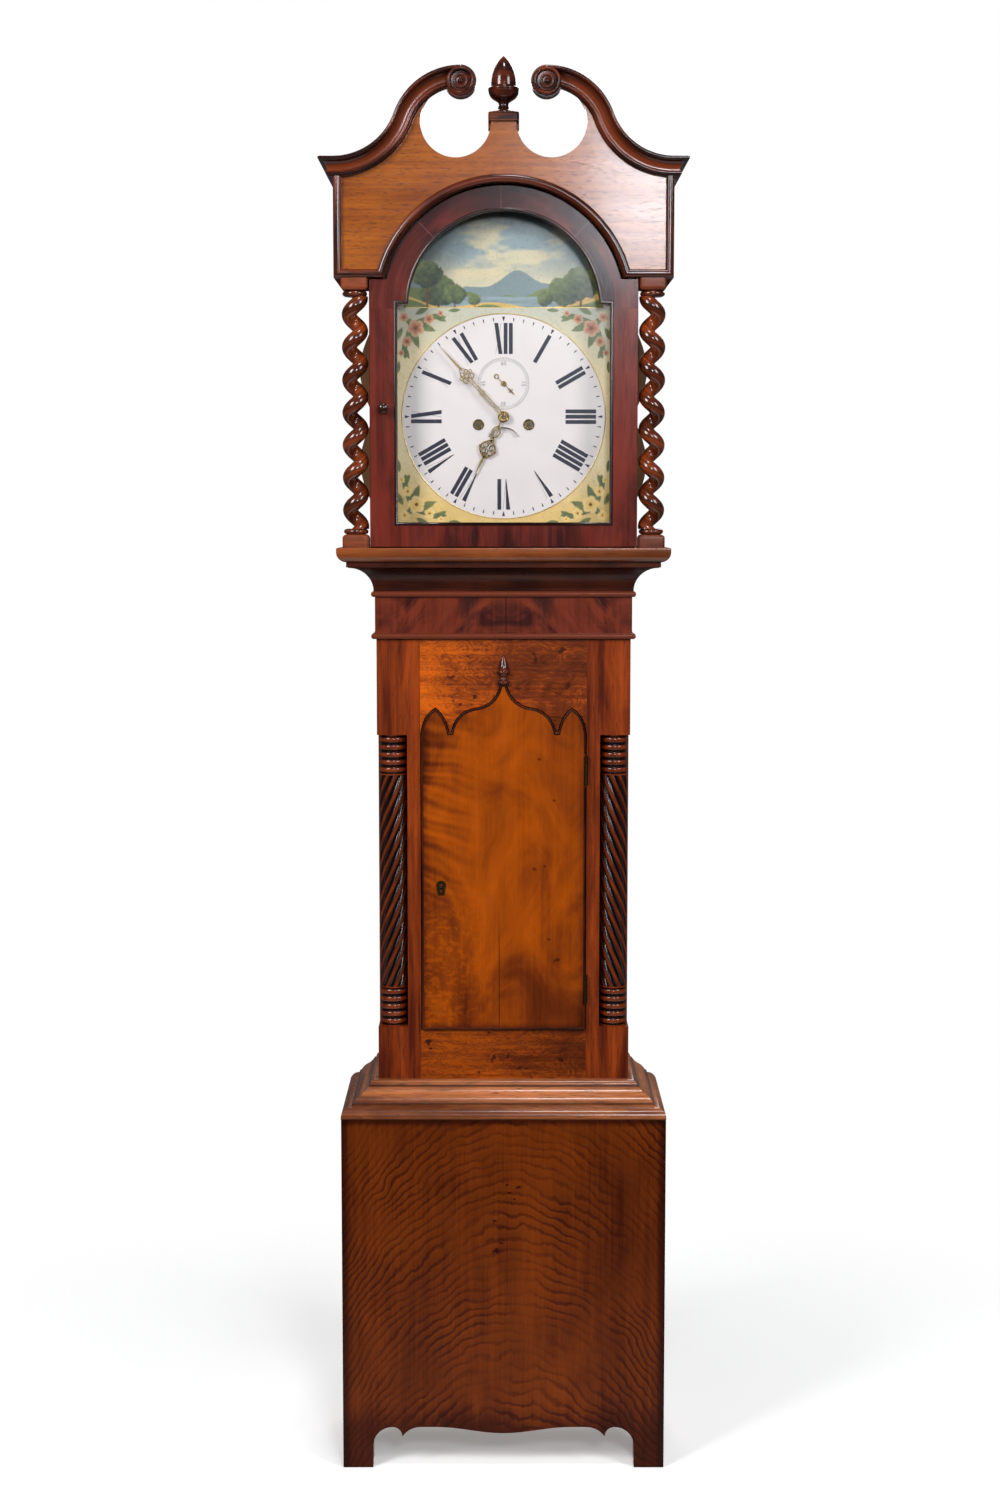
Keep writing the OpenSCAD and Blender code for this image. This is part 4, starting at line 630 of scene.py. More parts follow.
def lake_view(x, z, colours):
    """Arch: pale sky that painted shade darkens towards the rim, far hills, a lake with its light, near
    meadow, trees at both sides. Each hill's edge is a sum of sines."""
    sky, gold, green, deep, russet, cream = colours
    h = z - (ARCH_Z - 8)
    up = np.clip(h / 150, 0, 1)
    p = over(np.zeros(x.shape + (3,)) + cream, sky,
             smooth_step(0.1, 0.75, up + 0.25 * (mottle(x, z, 60, 3) - 0.5)))
    puffs = smooth_step(0.5, 0.72, mottle(x * 0.6, z * 1.5, 44, 11)) * smooth_step(0.3, 0.45, up)
    p = over(p, cream * 0.95, puffs * 0.75)
    # Painted shade: the sky darkens towards the rim of the arch
    away = np.hypot(x, z - ARCH_Z)
    p = over(p, deep * 0.6, smooth_step(118, 150, away + 16 * (mottle(x, z, 30, 5) - 0.5)) * 0.85)
    far = 52 + 13 * np.sin(x / 31 + 0.7) + 6 * np.sin(x / 12.5) + 5 * (mottle(x, x * 0, 18, 8) - 0.5)
    p = over(p, sky * 0.72 + deep * 0.16, under(far, h))
    near = 38 + 9 * np.sin(x / 40 - 1.4) + 3 * np.sin(x / 9.0 + 1)
    p = over(p, mottled(green, 0.75, 0.5, x, z, 22, 21), under(near, h))
    lake = under(30, h) * smooth_step(118, 108, np.abs(x + 8))
    p = over(p, mottled(sky, 0.5, 0.5, x * 0.25, z * 3, 9, 31) * 1.15, lake)
    bank = 15 + 6 * np.sin(x / 26 + 2.2) + 10 * (np.abs(x) / 130) ** 2
    p = over(p, mottled(gold, 0.7, 0.5, x, z * 2, 16, 41), under(bank, h))
    p = over(p, mottled(green, 0.6, 0.7, x, z * 2, 12, 44), under(bank - 7 - 4 * np.sin(x / 17), h))
    for tx, tz, r, seed in ((-104, 40, 27, 1), (-78, 34, 17, 2), (-122, 66, 22, 3), (96, 38, 24, 4),
                            (121, 50, 26, 5), (66, 27, 12, 6), (-46, 25, 9, 7)):
        p = over(p, russet * 0.55, smooth_step(0.8, -0.8, np.abs(x - tx - 0.06 * h) - r * 0.07)
                 * under(tz, h) * smooth_step(-1, 1, h - 6))
        rough = r * (0.72 + 0.5 * mottle(x, z, 11, 50 + seed))
        crown = smooth_step(1.5, -1.5, np.hypot((x - tx) * 0.9, h - tz) - rough)
        lit = mottle(x, z, 6, 60 + seed) + 0.35 * (h - tz) / r - 0.2 * (x - tx) / r
        p = over(p, deep * 0.5 + (green - deep * 0.5) * np.clip(lit, 0, 1)[..., None], crown)
    return p


def garland_view(x, z, colours):
    """Corners: sprays of leaves and flowers on a cream ground that turns to sky above and to straw below."""
    sky, gold, green, deep, russet, cream = colours
    h = z - CENTRE_Z
    p = mottled(cream, 0.93, 0.14, x, z, 40, 7)
    p = over(p, sky * 1.1, smooth_step(70, 170, h + 40 * (mottle(x, z, 50, 9) - 0.5)) * 0.55)
    p = over(p, mottled(gold, 0.85, 0.3, x, z * 2, 18, 12),
             smooth_step(-60, -150, h + 30 * (mottle(x, z, 45, 15) - 0.5)) * 0.75)
    u, v = np.abs(x), np.abs(h)
    leaves = []
    for cx, cz, angle, length, width in (
            (150, 150, 200, 46, 13), (146, 146, 168, 40, 11), (120, 158, 184, 30, 9),
            (112, 160, 206, 24, 8), (140, 160, 150, 26, 9), (88, 166, 176, 20, 6)):
        # each leaf and its mirror image about the diagonal
        leaves += [(cx, cz, angle, length, width), (cz, cx, 450 - angle, length, width)]
    for leaf_of in leaves + [(157, 157, 225, 30, 10)]:
        tint = np.clip(0.25 + 0.9 * mottle(x, z, 8, leaf_of[0] + leaf_of[1] * 0.1), 0, 1)[..., None]
        p = over(p, deep * 0.75 + (green - deep * 0.75) * tint, leaf(u, v, *leaf_of) * 0.95)
    petal = np.where(h[..., None] < 0, gold * 1.15, russet * 1.25)
    pale = np.clip(petal * 0.5 + cream * 0.55, 0, 1)
    for cx, cz, r, petals, phase in ((139, 139, 14, 5, 0.4), (118, 153, 8.5, 5, 1.1), (153, 118, 8.5, 6, 0.2),
                                     (158, 156, 8, 5, 0.8), (100, 162, 5, 5, 0.5), (162, 100, 5, 5, 0.1)):
        inside = bloom(u, v, cx, cz, r, petals, phase)
        depth = np.clip(inside / r, 0, 1)[..., None]
        p = over(p, pale + (petal - pale) * np.clip(1.6 * depth, 0, 1), smooth_step(-0.5, 0.5, inside))
        p = over(p, russet * 0.5, smooth_step(-0.4, 0.4, r * 0.2 - np.hypot(u - cx, v - cz)))
    return p


# Sizes and colours that a user would change


def colour_property(name, description, default):
    """A colour for the panel."""
    return FloatVectorProperty(name=name, description=description, default=default, subtype="COLOR", size=3,
                               min=0.0, max=1.0)


def length_property(name, description, default):
    """A length in metres for the panel."""
    return FloatProperty(name=name, description=description, default=default, unit="LENGTH",
                         subtype="DISTANCE", min=0.0)


class ClockSizes(bpy.types.PropertyGroup):
    """Sizes of the pieces made here"""

    strand_radius: length_property("Strand radius", "Radius of the strand of a twist column", 0.0116)
    strand_off: length_property("Strand offset", "Distance of the strand from the column's axis", 0.0092)
    strand_lead: length_property("Strand lead", "Height in which the strand goes once round", 0.0509)
    rope_lead: length_property("Rope lead", "Height in which a rope strand goes once round", 0.257)
    rope_starts: IntProperty(name="Rope strands", description="Strands in a trunk column", default=9)
    ring_count: IntProperty(name="Rings", description="Rings at each end of a trunk column", default=5)
    minute_length: length_property("Minute hand", "Length of the minute hand", 0.150)
    hour_length: length_property("Hour hand", "Length of the hour hand", 0.105)
    seconds_length: length_property("Seconds hand", "Length of the seconds hand", 0.025)


class ClockColours(bpy.types.PropertyGroup):
    """Colours of the woods, metals and paints"""

    oak_light: colour_property("Oak light", "Light tone of the oak", (0.148, 0.027, 0.0025))
    oak_dark: colour_property("Oak dark", "Dark tone of the oak", (0.048, 0.0075, 0.0018))
    door_light: colour_property("Door light", "Light tone of the figured door", (0.31, 0.055, 0.0015))
    door_dark: colour_property("Door dark", "Dark tone of the figured door", (0.135, 0.022, 0.0025))
    pale_light: colour_property("Pale oak light", "Light tone of the hood's oak", (0.38, 0.102, 0.008))
    pale_dark: colour_property("Pale oak dark", "Dark tone of the hood's oak", (0.17, 0.038, 0.008))
    post_light: colour_property("Post light", "Light tone of the corner posts", (0.28, 0.044, 0.006))
    post_dark: colour_property("Post dark", "Dark tone of the corner posts", (0.085, 0.012, 0.0035))
    mahogany_light: colour_property("Mahogany light", "Light tone of the mahogany", (0.135, 0.018, 0.010))
    mahogany_dark: colour_property("Mahogany dark", "Dark tone of the mahogany", (0.036, 0.006, 0.0055))
    turned_light: colour_property("Turned light", "Light tone of the turned wood", (0.130, 0.022, 0.007))
    turned_dark: colour_property("Turned dark", "Dark tone of the turned wood", (0.022, 0.005, 0.003))
    plinth_light: colour_property("Plinth light", "Light tone of the plinth moulding", (0.42, 0.135, 0.045))
    plinth_dark: colour_property("Plinth dark", "Dark tone of the plinth moulding", (0.14, 0.036, 0.012))
    rail_light: colour_property("Rail light", "Light tone of the hood's base frame", (0.27, 0.068, 0.015))
    rail_dark: colour_property("Rail dark", "Dark tone of the hood's base frame", (0.085, 0.018, 0.005))
    frieze_light: colour_property("Frieze light", "Light tone of the frieze", (0.15, 0.024, 0.010))
    frieze_dark: colour_property("Frieze dark", "Dark tone of the frieze", (0.045, 0.008, 0.006))
    twist_light: colour_property("Twist light", "Light tone of the twist columns", (0.22, 0.040, 0.008))
    twist_dark: colour_property("Twist dark", "Dark tone of the twist columns", (0.05, 0.009, 0.003))
    block_light: colour_property("Block light", "Light tone of the column blocks", (0.22, 0.05, 0.018))
    block_dark: colour_property("Block dark", "Dark tone of the column blocks", (0.06, 0.012, 0.005))
    pine: colour_property("Pine", "Colour of the pine", (0.16, 0.075, 0.028))
    brass: colour_property("Brass", "Colour of the brass", (0.62, 0.43, 0.17))
    steel: colour_property("Steel", "Colour of the steel", (0.34, 0.34, 0.35))
    lead: colour_property("Lead", "Colour of the weights", (0.15, 0.15, 0.16))
    enamel: colour_property("Enamel", "Ground of the dial", (0.83, 0.76, 0.745))
    ink: colour_property("Ink", "Numerals of the dial", (0.014, 0.014, 0.034))
    sky: colour_property("Sky", "Sky of the painting", (0.28, 0.37, 0.39))
    gold: colour_property("Straw", "Straw of the painting", (0.76, 0.49, 0.12))
    green: colour_property("Green", "Meadows of the painting", (0.17, 0.22, 0.06))
    deep: colour_property("Deep green", "Shadows of the painting", (0.022, 0.05, 0.045))
    russet: colour_property("Russet", "Russet of the painting", (0.38, 0.10, 0.045))
    cream: colour_property("Cream", "Cream of the painting", (0.86, 0.72, 0.42))


def painting_colours(c):
    """The painting's colours as arrays, in the order that the views take them."""
    return [np.array(v) for v in (c.sky, c.gold, c.green, c.deep, c.russet, c.cream)]


# Pieces


class CLOCK_OT_twist_columns(bpy.types.Operator):
    """Winds the two barley-twist columns of the hood and rounds the blocks that hold them"""

    bl_idname = "clock.twist_columns"
    bl_label = "Twist columns"

    def execute(self, context):
        size, c = context.scene.clock_sizes, context.scene.clock_colours
        r, off, lead = size.strand_radius * 1000, size.strand_off * 1000, size.strand_lead * 1000
        # Level section of a round strand of radius r wound at off: the circle's far and near points are
        # reached off level, so they are turned about the axis by what the strand climbs between
        climb = lead / (2 * math.pi)
        tilt = math.atan2(climb, off)
        b = -np.linspace(0, 2 * np.pi, 36, endpoint=False)
        u, v = off + r * np.cos(b), r * np.sin(b)
        a, w = -v * math.cos(tilt) / climb, v * math.sin(tilt)
        section = u * np.cos(a) + w * np.sin(a), u * np.sin(a) - w * np.cos(a)
        end = 9.0
        z = np.linspace(end - 0.5, TWIST_H - end + 0.5, 250)[:, None]
        t = np.radians(333.0) + 2 * np.pi * (z - z[0]) / lead
        u, v = section
        x, y = u * np.cos(t) - v * np.sin(t), u * np.sin(t) + v * np.cos(t)
        grain = grid(z * 1.4, u, v)
        collar = chain([[0.01, 0], [15.5, 0]], arc(15.5, end / 2, 4, end / 2 - 0.6, -86, 86, 12),
                       [[15.5, end], [0.01, end]])
        shell = Shell()
        for s in (-1, 1):
            # seen from the front the left strand climbs to the right, and the right one mirrors it
            shell.add(grid(s * (HOOD_COL_X - x), HOOD_COL_D - y, TWIST_Z + z), grain, ring=True)
            for foot in (0, TWIST_H - end):
                shell.turned(collar, "up", (s * HOOD_COL_X, HOOD_COL_D, TWIST_Z + foot), 40)
        glossy = turned_wood("glossy_mahogany", c.twist_dark, c.twist_light, 0.2, 0.4)
        place("twist_columns", shell, glossy, "hood", ("hood_columns",))

        # Square blocks of half width 21, with the edge next to the twist rounded by 6
        blocks = Shell()
        half, ease = 21, 6
        foot = chain([[0.01, HOOD_FLOOR], [half, HOOD_FLOOR]],
                     arc(half - ease, TWIST_Z - ease, ease, ease, 0, 90, 8), [[0.01, TWIST_Z]])
        head = chain([[0.01, CAPITAL_Z]], arc(half - ease, CAPITAL_Z + ease, ease, ease, 0, -90, 8)[::-1],
                     [[half, LEG_Z], [0.01, LEG_Z]])
        for profile in (foot, head):
            for s in (-1, 1):
                blocks.add(squared_turning(profile, 14, s * HOOD_COL_X, HOOD_COL_D), ring=True)
        place("column_block_pieces", blocks,
              wood("block_mahogany", c.block_dark, c.block_light, "x"), "hood",
              ("column_blocks",))
        return {"FINISHED"}


class CLOCK_OT_rope_columns(bpy.types.Operator):
    """Carves the two rope columns of the trunk with their turned rings"""

    bl_idname = "clock.rope_columns"
    bl_label = "Rope columns"

    def execute(self, context):
        size, c = context.scene.clock_sizes, context.scene.clock_colours
        band, r = 66.0, 22.0
        rope_h = RECESS_H - 2 * band
        # Radius r - 0.4 - 3.8 (1 - |sin(n (a - twist) / 2)|^0.8): n round strands with sharp valleys
        a = np.linspace(0, 2 * np.pi, size.rope_starts * 16, endpoint=False)
        z = np.linspace(-0.5, rope_h + 0.5, 110)[:, None]
        radius = r - 0.4 - 3.8 * (1 - np.abs(np.sin(size.rope_starts * a / 2)) ** 0.8)
        t = a[None] - 2 * np.pi * z / (size.rope_lead * 1000)
        pitch = (band - 4.8) / size.ring_count
        neck = r - 3.6
        rings = [arc(neck, 2.4 + pitch * (i + 0.5), r - neck, pitch * 0.42, -90, 90, 12)
                 for i in range(size.ring_count)]
        profile = chain([[0.01, 0], [r - 0.3, 0], [r, 0.4], [r, 2.0], [neck, 2.4]], *rings,
                        [[neck, band - 2.4], [r, band - 2.0], [r, band - 0.4], [r - 0.3, band], [0.01, band]])
        shell = Shell()
        for s in (-1, 1):
            p = grid(s * (COLUMN_X + radius * np.cos(t)), COLUMN_D - radius * np.sin(t), RECESS_Z + band + z)
            shell.add(p, grid(z + 3 * s, radius, a * 20), ring=True)
            for foot in (0, RECESS_H - band):
                shell.turned(profile, "up", (s * COLUMN_X, COLUMN_D, RECESS_Z + foot), 64)
        place("rope_columns", shell, self.finish(c), "case", ("trunk_columns",))
        return {"FINISHED"}

    def finish(self, c):
        """Nearly black in the valleys, as painted shade, and a warm brown on the ridges, as wear with a
        painted highlight, by distance from the axis.
        """
        f = Finish("rope_wood", coat=0.08, specular=0.32)
        p = f.place()
        x, y, _ = f.split(p)
        away = ((abs(x) - COLUMN_X / 1000) ** 2 + (y - (WALL - COLUMN_D) / 1000) ** 2).root() * 1000
        # wear is 1 on the ridges, where it paints wear together with a highlight; where it is 0 the near
        # black is painted shade in the valleys
        wear = away.smooth(20.3, 22.1) * (0.6 + f.sway(1.4, p, (60, 60, 30), 3))
        return f.done(f.mix(shade(c.turned_dark, 0.35), (0.27, 0.040, 0.006), wear), 0.25 - wear * 0.08,
                      f.noise(p, (300, 300, 90), 3), 0.12, 0.0004)


class CLOCK_OT_mouldings(bpy.types.Operator):
    """Runs the plinth, frieze, throat and hood base mouldings round the case, and the hood's bead"""

    bl_idname = "clock.mouldings"
    bl_label = "Mouldings"

    def execute(self, context):
        c = context.scene.clock_colours
        p, z = PROJECTION, BASE_H
        # Ogee: a slope of 24 in and 23 up, bent by 0.07 sin(2 pi t)
        t = np.linspace(0, 1, 25)
        ogee = np.stack([p - 19 - 24 * t, z + 22 + 23 * (t + 0.07 * np.sin(2 * np.pi * t))], 1)
        plinth = chain([[0, z], [p, z]], arc(p - 17, z + 3, 17, 15, 0, 90, 20), [[p - 17, z + 22]],
                       ogee, [[p - 45, z + 45]], arc(p - 54, z + 45, 9, 9, 10, 90, 10), [[0, z + PLINTH_H]])
        run = Shell().add(*round_the_case(plinth, TRUNK_HALF, TRUNK_D, 0), ring=True)
        oak = wood("plinth_oak", c.plinth_dark, c.plinth_light, "path", 1.1, pores=0.9, coat=0.4,
                   roughness=0.26, extra=self.crease_shade)
        place("plinth_run", run, oak, "case", ("plinth_moulding",), edge=28)

        half_round = arc(8 - BEAD_H / 2, BEAD_H / 2, BEAD_H / 2, BEAD_H / 2, -90, 90, 18)
        beads = Shell()
        low = chain([[0, BEAD_Z]], half_round + [0, BEAD_Z], [[0, BEAD_Z + BEAD_H]])
        out = PROJECTION - 17
        top = CAVETTO_Z + CAVETTO_H
        throat = chain([[0, FRIEZE_TOP]], half_round + [0, FRIEZE_TOP],
                       arc(out, CAVETTO_Z, out - 4, CAVETTO_H, 180, 90, 28),
                       [[out, top + 1], [out + 3, top + 1], [out + 3, HOOD_Z], [0, HOOD_Z]])
        for profile in (low, throat):
            beads.add(*round_the_case(profile, TRUNK_HALF, TRUNK_D, 0), ring=True)
        dark = turned_wood("throat_wood", shade(c.turned_dark, 1.4), (0.085, 0.016, 0.005), 0.3, 0.06,
                           specular=0.15, extra=self.warm_beads)
        place("throat_run", beads, dark, "case", ("throat_moulding",), edge=28)

        inner_half, inner_d = TRUNK_HALF - 0.5, TRUNK_D - 1.3
        rail = BASE_D - inner_d
        r = 16.0
        profile = chain([[0, HOOD_Z], [rail - r, HOOD_Z]], arc(rail - r, HOOD_Z + r, r, r, -84, 0, 20),
                        arc(rail - 2, HOOD_FLOOR - 2, 2, 2, 0, 90, 6), [[0, HOOD_FLOOR]])
        run = Shell().add(*round_the_case(profile, inner_half, inner_d, HOOD_BACK), ring=True)
        oak = wood("hood_base_oak", c.rail_dark, c.rail_light, "path", 0.6, coat=0.4, roughness=0.24)
        place("hood_base_run", run, oak, "hood", ("hood_base_frame",), edge=28)

        # Bead: up the outer edge, along the leg's foot and round the arch, mitred, one half then mirrored
        mid = BEAD_W / 2
        x = TYMPANUM_HALF - mid
        foot = LEG_Z + mid
        r = ARCH_R + mid
        start = math.degrees(math.asin((foot - ARCH_Z) / r))
        right = chain([[x, HORN_TOP - NECK_W + 2], [x, foot]], arc(0, ARCH_Z, r, r, start, 90, 60))
        path = chain(right, (right * [-1, 1])[::-1])
        bead = chain([[-6.5, 0], [-6.5, 1.8]], arc(0, 2.0, 6.3, 6.0, 172, 8, 20), [[6.5, 1.8], [6.5, 0]])
        place("hood_bead", Shell().swept(path, bead, FACE),
              turned_wood("bead_mahogany", shade(c.turned_dark, 0.8), c.turned_light, 0.24, 0.3),
              "hood", ("tympanum_bead",), edge=32)

        self.door_bead(c)

        # Thin bead at the sight edge of the hood door
        spring = SIGHT_TOP - ARCH_Z
        right = chain([[SIGHT_HALF, SIGHT_LOW], [SIGHT_HALF, SIGHT_TOP],
                       [math.sqrt(SIGHT_R ** 2 - spring ** 2), SIGHT_TOP]],
                      arc(0, ARCH_Z, SIGHT_R, SIGHT_R, math.degrees(math.asin(spring / SIGHT_R)), 90, 60))
        path = chain([[0, SIGHT_LOW]], right, (right * [-1, 1])[::-1], [[0, SIGHT_LOW]])
        edge = chain([[-0.1, -6]], arc(2.4, 0.2, 2.5, 1.5, 180, 0, 10), [[4.9, -0.3], [2, -1], [2, -6]])
        place("sight_bead", Shell().swept(path, edge, DOOR_D),
              turned_wood("ebonised", shade(c.turned_dark, 0.6), c.turned_dark, 0.3),
              "hood_door", edge=40)
        return {"FINISHED"}

    def crease_shade(self, f, colour):
        """Painted shade: dark lines in the creases where two members of the plinth moulding meet."""
        _, _, z = f.split(f.grain("path"))
        line = sum((z * 1000).line(BASE_H + h, 0.4, 2.2) for h in (1.0, 22.0, 45.0))
        # Painted shade in the creases, laid over the wood's colour
        return f.mix(colour, (0.022, 0.005, 0.002), line * 0.75)

    def warm_beads(self, f, colour):
        """The two beads are redder than the cove: their height is below the cove's foot."""
        _, out, z = f.split(f.grain("path"))
        beads = (z < CAVETTO_Z / 1000 - 0.0002) * (out > 0.001)
        return f.mix(colour, (0.17, 0.034, 0.014), beads * 0.8)

    def door_bead(self, c):
        """Bead just inside the edge of the trunk door, broken at the hinges: the half outline of the opening
        (straight side, two side points, cusp, ogee up to the neck) moved in by 3."""
        side, low = OPENING_HALF, OPENING_LOW
        lower_hinge, upper_hinge = (761.5, 813.5), (1120.5, 1173.5)

        def bend(p, q, r):
            """Quadratic curve from p to r, pulled towards q: p (1 - t)^2 + 2 q t (1 - t) + r t^2."""
            t = np.linspace(0, 1, 10)[:, None]
            return np.array(p) * (1 - t) ** 2 + np.array(q) * 2 * t * (1 - t) + np.array(r) * t * t

        peak, cusp, foot, bow, neck = [109.8, 43], [87.4, 3], [85, 3], [38, 44], [5.8, 79]
        head = chain(bend([side, 0], [side - 3, 30], peak), bend(peak, [93, 30], cusp),
                     bend(foot, [78, 40], bow), bend(bow, [13, 51], neck)) + [0, SHOULDER]
        top = chain([[side, upper_hinge[1]]], head)
        top = top - np.clip(mitred(top), -2.2, 2.2) * 3
        top[0, 1] = upper_hinge[1]
        left = (top * [-1, 1])[::-1]
        left[-1] = [-(side - 3), low + 3]
        lower = np.array([[-(side - 3), low + 3], [side - 3, low + 3], [side - 3, lower_hinge[0]]])
        middle = np.array([[side - 3, lower_hinge[1]], [side - 3, upper_hinge[0]]])
        bead = chain([[-1.5, 0]], arc(0, 0.2, 1.5, 1.1, 170, 10, 10), [[1.5, 0]])
        shell = Shell()
        for path in (chain(top, left, lower), middle):
            shell.swept(path, bead, TRUNK_D + 5)
        dark = turned_wood("door_bead_wood", shade(c.turned_dark, 0.6), (0.07, 0.013, 0.003), 0.35, 0.04,
                           specular=0.12)
        place("door_bead", shell, dark, "trunk_door", edge=45)


class CLOCK_OT_necks(bpy.types.Operator):
    """Sweeps the two swan necks and turns their rosettes"""

    bl_idname = "clock.necks"
    bl_label = "Swan necks"

    def execute(self, context):
        c = context.scene.clock_colours
        dx, k = HORN_X - CREST_X, CREST_TOP - NECK_R - HORN_TOP
        horn_r = (dx ** 2 + k ** 2 - NECK_R ** 2) / (2 * (NECK_R + k))
        horn_z, crest_z = HORN_TOP + horn_r, CREST_TOP - NECK_R
        bend = math.degrees(math.atan2(horn_z - crest_z, dx))
        profile = chain([[0, 0], [0, NECK_OUT - 3.4]], arc(3.2, NECK_OUT - 3.2, 3.2, 3.2, 178, 12, 12),
                        [[6.5, NECK_OUT - 3.6]],
                        arc(NECK_W - 10.5, NECK_OUT - 3, NECK_W - 17, NECK_OUT - 11, 186, 272, 18),
                        arc(NECK_W - 6.6, 8.2, 3.4, 2.7, 165, 12, 10),
                        arc(NECK_W - 3.4, 3.6, 3.4, 3.2, 88, 4, 6), [[NECK_W, 0]])
        s, rise = profile[:, 0], profile[:, 1]
        # Upper curve: circle of radius neck_r - s about the crest's centre, then horn_r + s about the horn's
        n = 40
        ca, sa = turn(np.linspace(90, bend, n))
        cb, sb = turn(np.linspace(180 + bend, 270, n + 14)[1:])
        x = np.vstack([CREST_X + (NECK_R - s) * ca[:, None], HORN_X + (horn_r + s) * cb[:, None]])
        z = np.vstack([crest_z + (NECK_R - s) * sa[:, None], horn_z + (horn_r + s) * sb[:, None]])
        p = grid(x, FACE + rise, z)
        along = np.r_[np.linspace(0, 150, n), np.linspace(155, 340, n + 13)][:, None]
        grain = grid(along, s, rise)
        # Side return: from the mitre at the horn's corner straight back
        for depth, along in ((FACE + rise, 345.0), (HOOD_BACK, 600.0)):
            p = np.concatenate([p, grid(TYMPANUM_HALF + rise, depth, HORN_TOP - s)[None]])
            grain = np.concatenate([grain, grid(along, s, rise)[None]])

        def cove(f, colour):
            """Painted light and shade: lighter and warmer down the cove where the light falls on it, and a
            near black line of painted shade in the crease at the rim's inner edge.
            """
            _, side, _ = f.split(f.grain("path"))
            # Painted light: the cove's colour made lighter and warmer
            warm = side.smooth(0.007, 0.015) * (1 - side.smooth(0.021, 0.0235))
            colour = f.mix(colour, (0.24, 0.044, 0.010), warm * 0.55)
            # Painted shade: a near black line in the crease under the rim
            return f.mix(colour, (0.02, 0.004, 0.002), side.line(0.0068, 0.0, 0.0014) * 0.8)

        finish = turned_wood("neck_mahogany", c.turned_dark, c.turned_light, 0.22, 0.25, specular=0.3,
                             extra=cove)
        for side, way in (("left", -1), ("right", 1)):
            place(f"neck_{side}", Shell().add(p * [way, 1, 1], grain, ring=True), finish, "hood",
                  (f"swan_neck_{side}",), edge=38)

        # Boss: the rosette's disc, cut on the neck's side to the curve inside the moulding
        q = np.array([CREST_X - 0.5, ROSETTE_Z - 11.0])
        ca, sa = turn(np.arange(96) * 3.75)

        def reach(cx, cz, r):
            """Distance from q to a circle that holds it, in each direction."""
            ox, oz = q[0] - cx, q[1] - cz
            b = ox * ca + oz * sa
            return -b + np.sqrt(b * b - ox * ox - oz * oz + r * r)

        disc = reach(CREST_X, ROSETTE_Z, ROSETTE_R)
        with np.errstate(divide="ignore"):
            to_middle = np.where(ca > 1e-9, (CREST_X - q[0]) / np.maximum(ca, 1e-9), 1e9)
        left_part = np.minimum(disc, to_middle)
        right_part = np.minimum(disc, reach(CREST_X, CREST_TOP - NECK_R, NECK_R - NECK_W - 0.4))
        d = np.maximum(left_part, right_part)
        outline = np.stack([q[0] + d * ca, q[1] + d * sa], 1)
        rings = chain([[0.01, 0], [21.2, 0]], arc(20.4, 1.8, 1.6, 1.8, -70, 70, 8),
                      arc(18.3, 3.6, 2.2, 2.4, 20, 165, 10), [[15.2, 2.2], [14.8, 1.6], [11.6, 1.4]],
                      arc(9.4, 2.2, 2.0, 2.4, 10, 170, 10), [[6.6, 1.6], [4.4, 1.4]],
                      arc(0.01, 1.8, 3.6, 2.4, 10, 90, 8))
        shell = Shell()
        for way in (-1, 1):
            shell.slab(outline * [way, 1], FACE, FACE + NECK_OUT)
            shell.turned(rings, "forward", (way * CREST_X, FACE + NECK_OUT, ROSETTE_Z), 56)

        def worn(f, colour):
            """Pale edges on the rings, by distance from each centre: painted highlights on the rings' crests,
            with some wear.
            """
            away = f.away(CREST_X, ROSETTE_Z)
            # Pale lines on the rings' crests: painted highlight, with some wear
            edges = sum(away.line(r, 0.2, 1.1) for r in (20.2, 10.4, 7.9))
            in_front = f.axes()[1] < (WALL - FACE - NECK_OUT) / 1000
            return f.mix(colour, (0.24, 0.075, 0.045), edges * in_front * 0.4)

        dark = turned_wood("rosette_wood", c.turned_dark, shade(c.turned_light, 1.2), 0.24, 0.06,
                           specular=0.2, extra=worn)
        place("rosette_pieces", shell, dark, "hood", ("rosettes",))
        return {"FINISHED"}


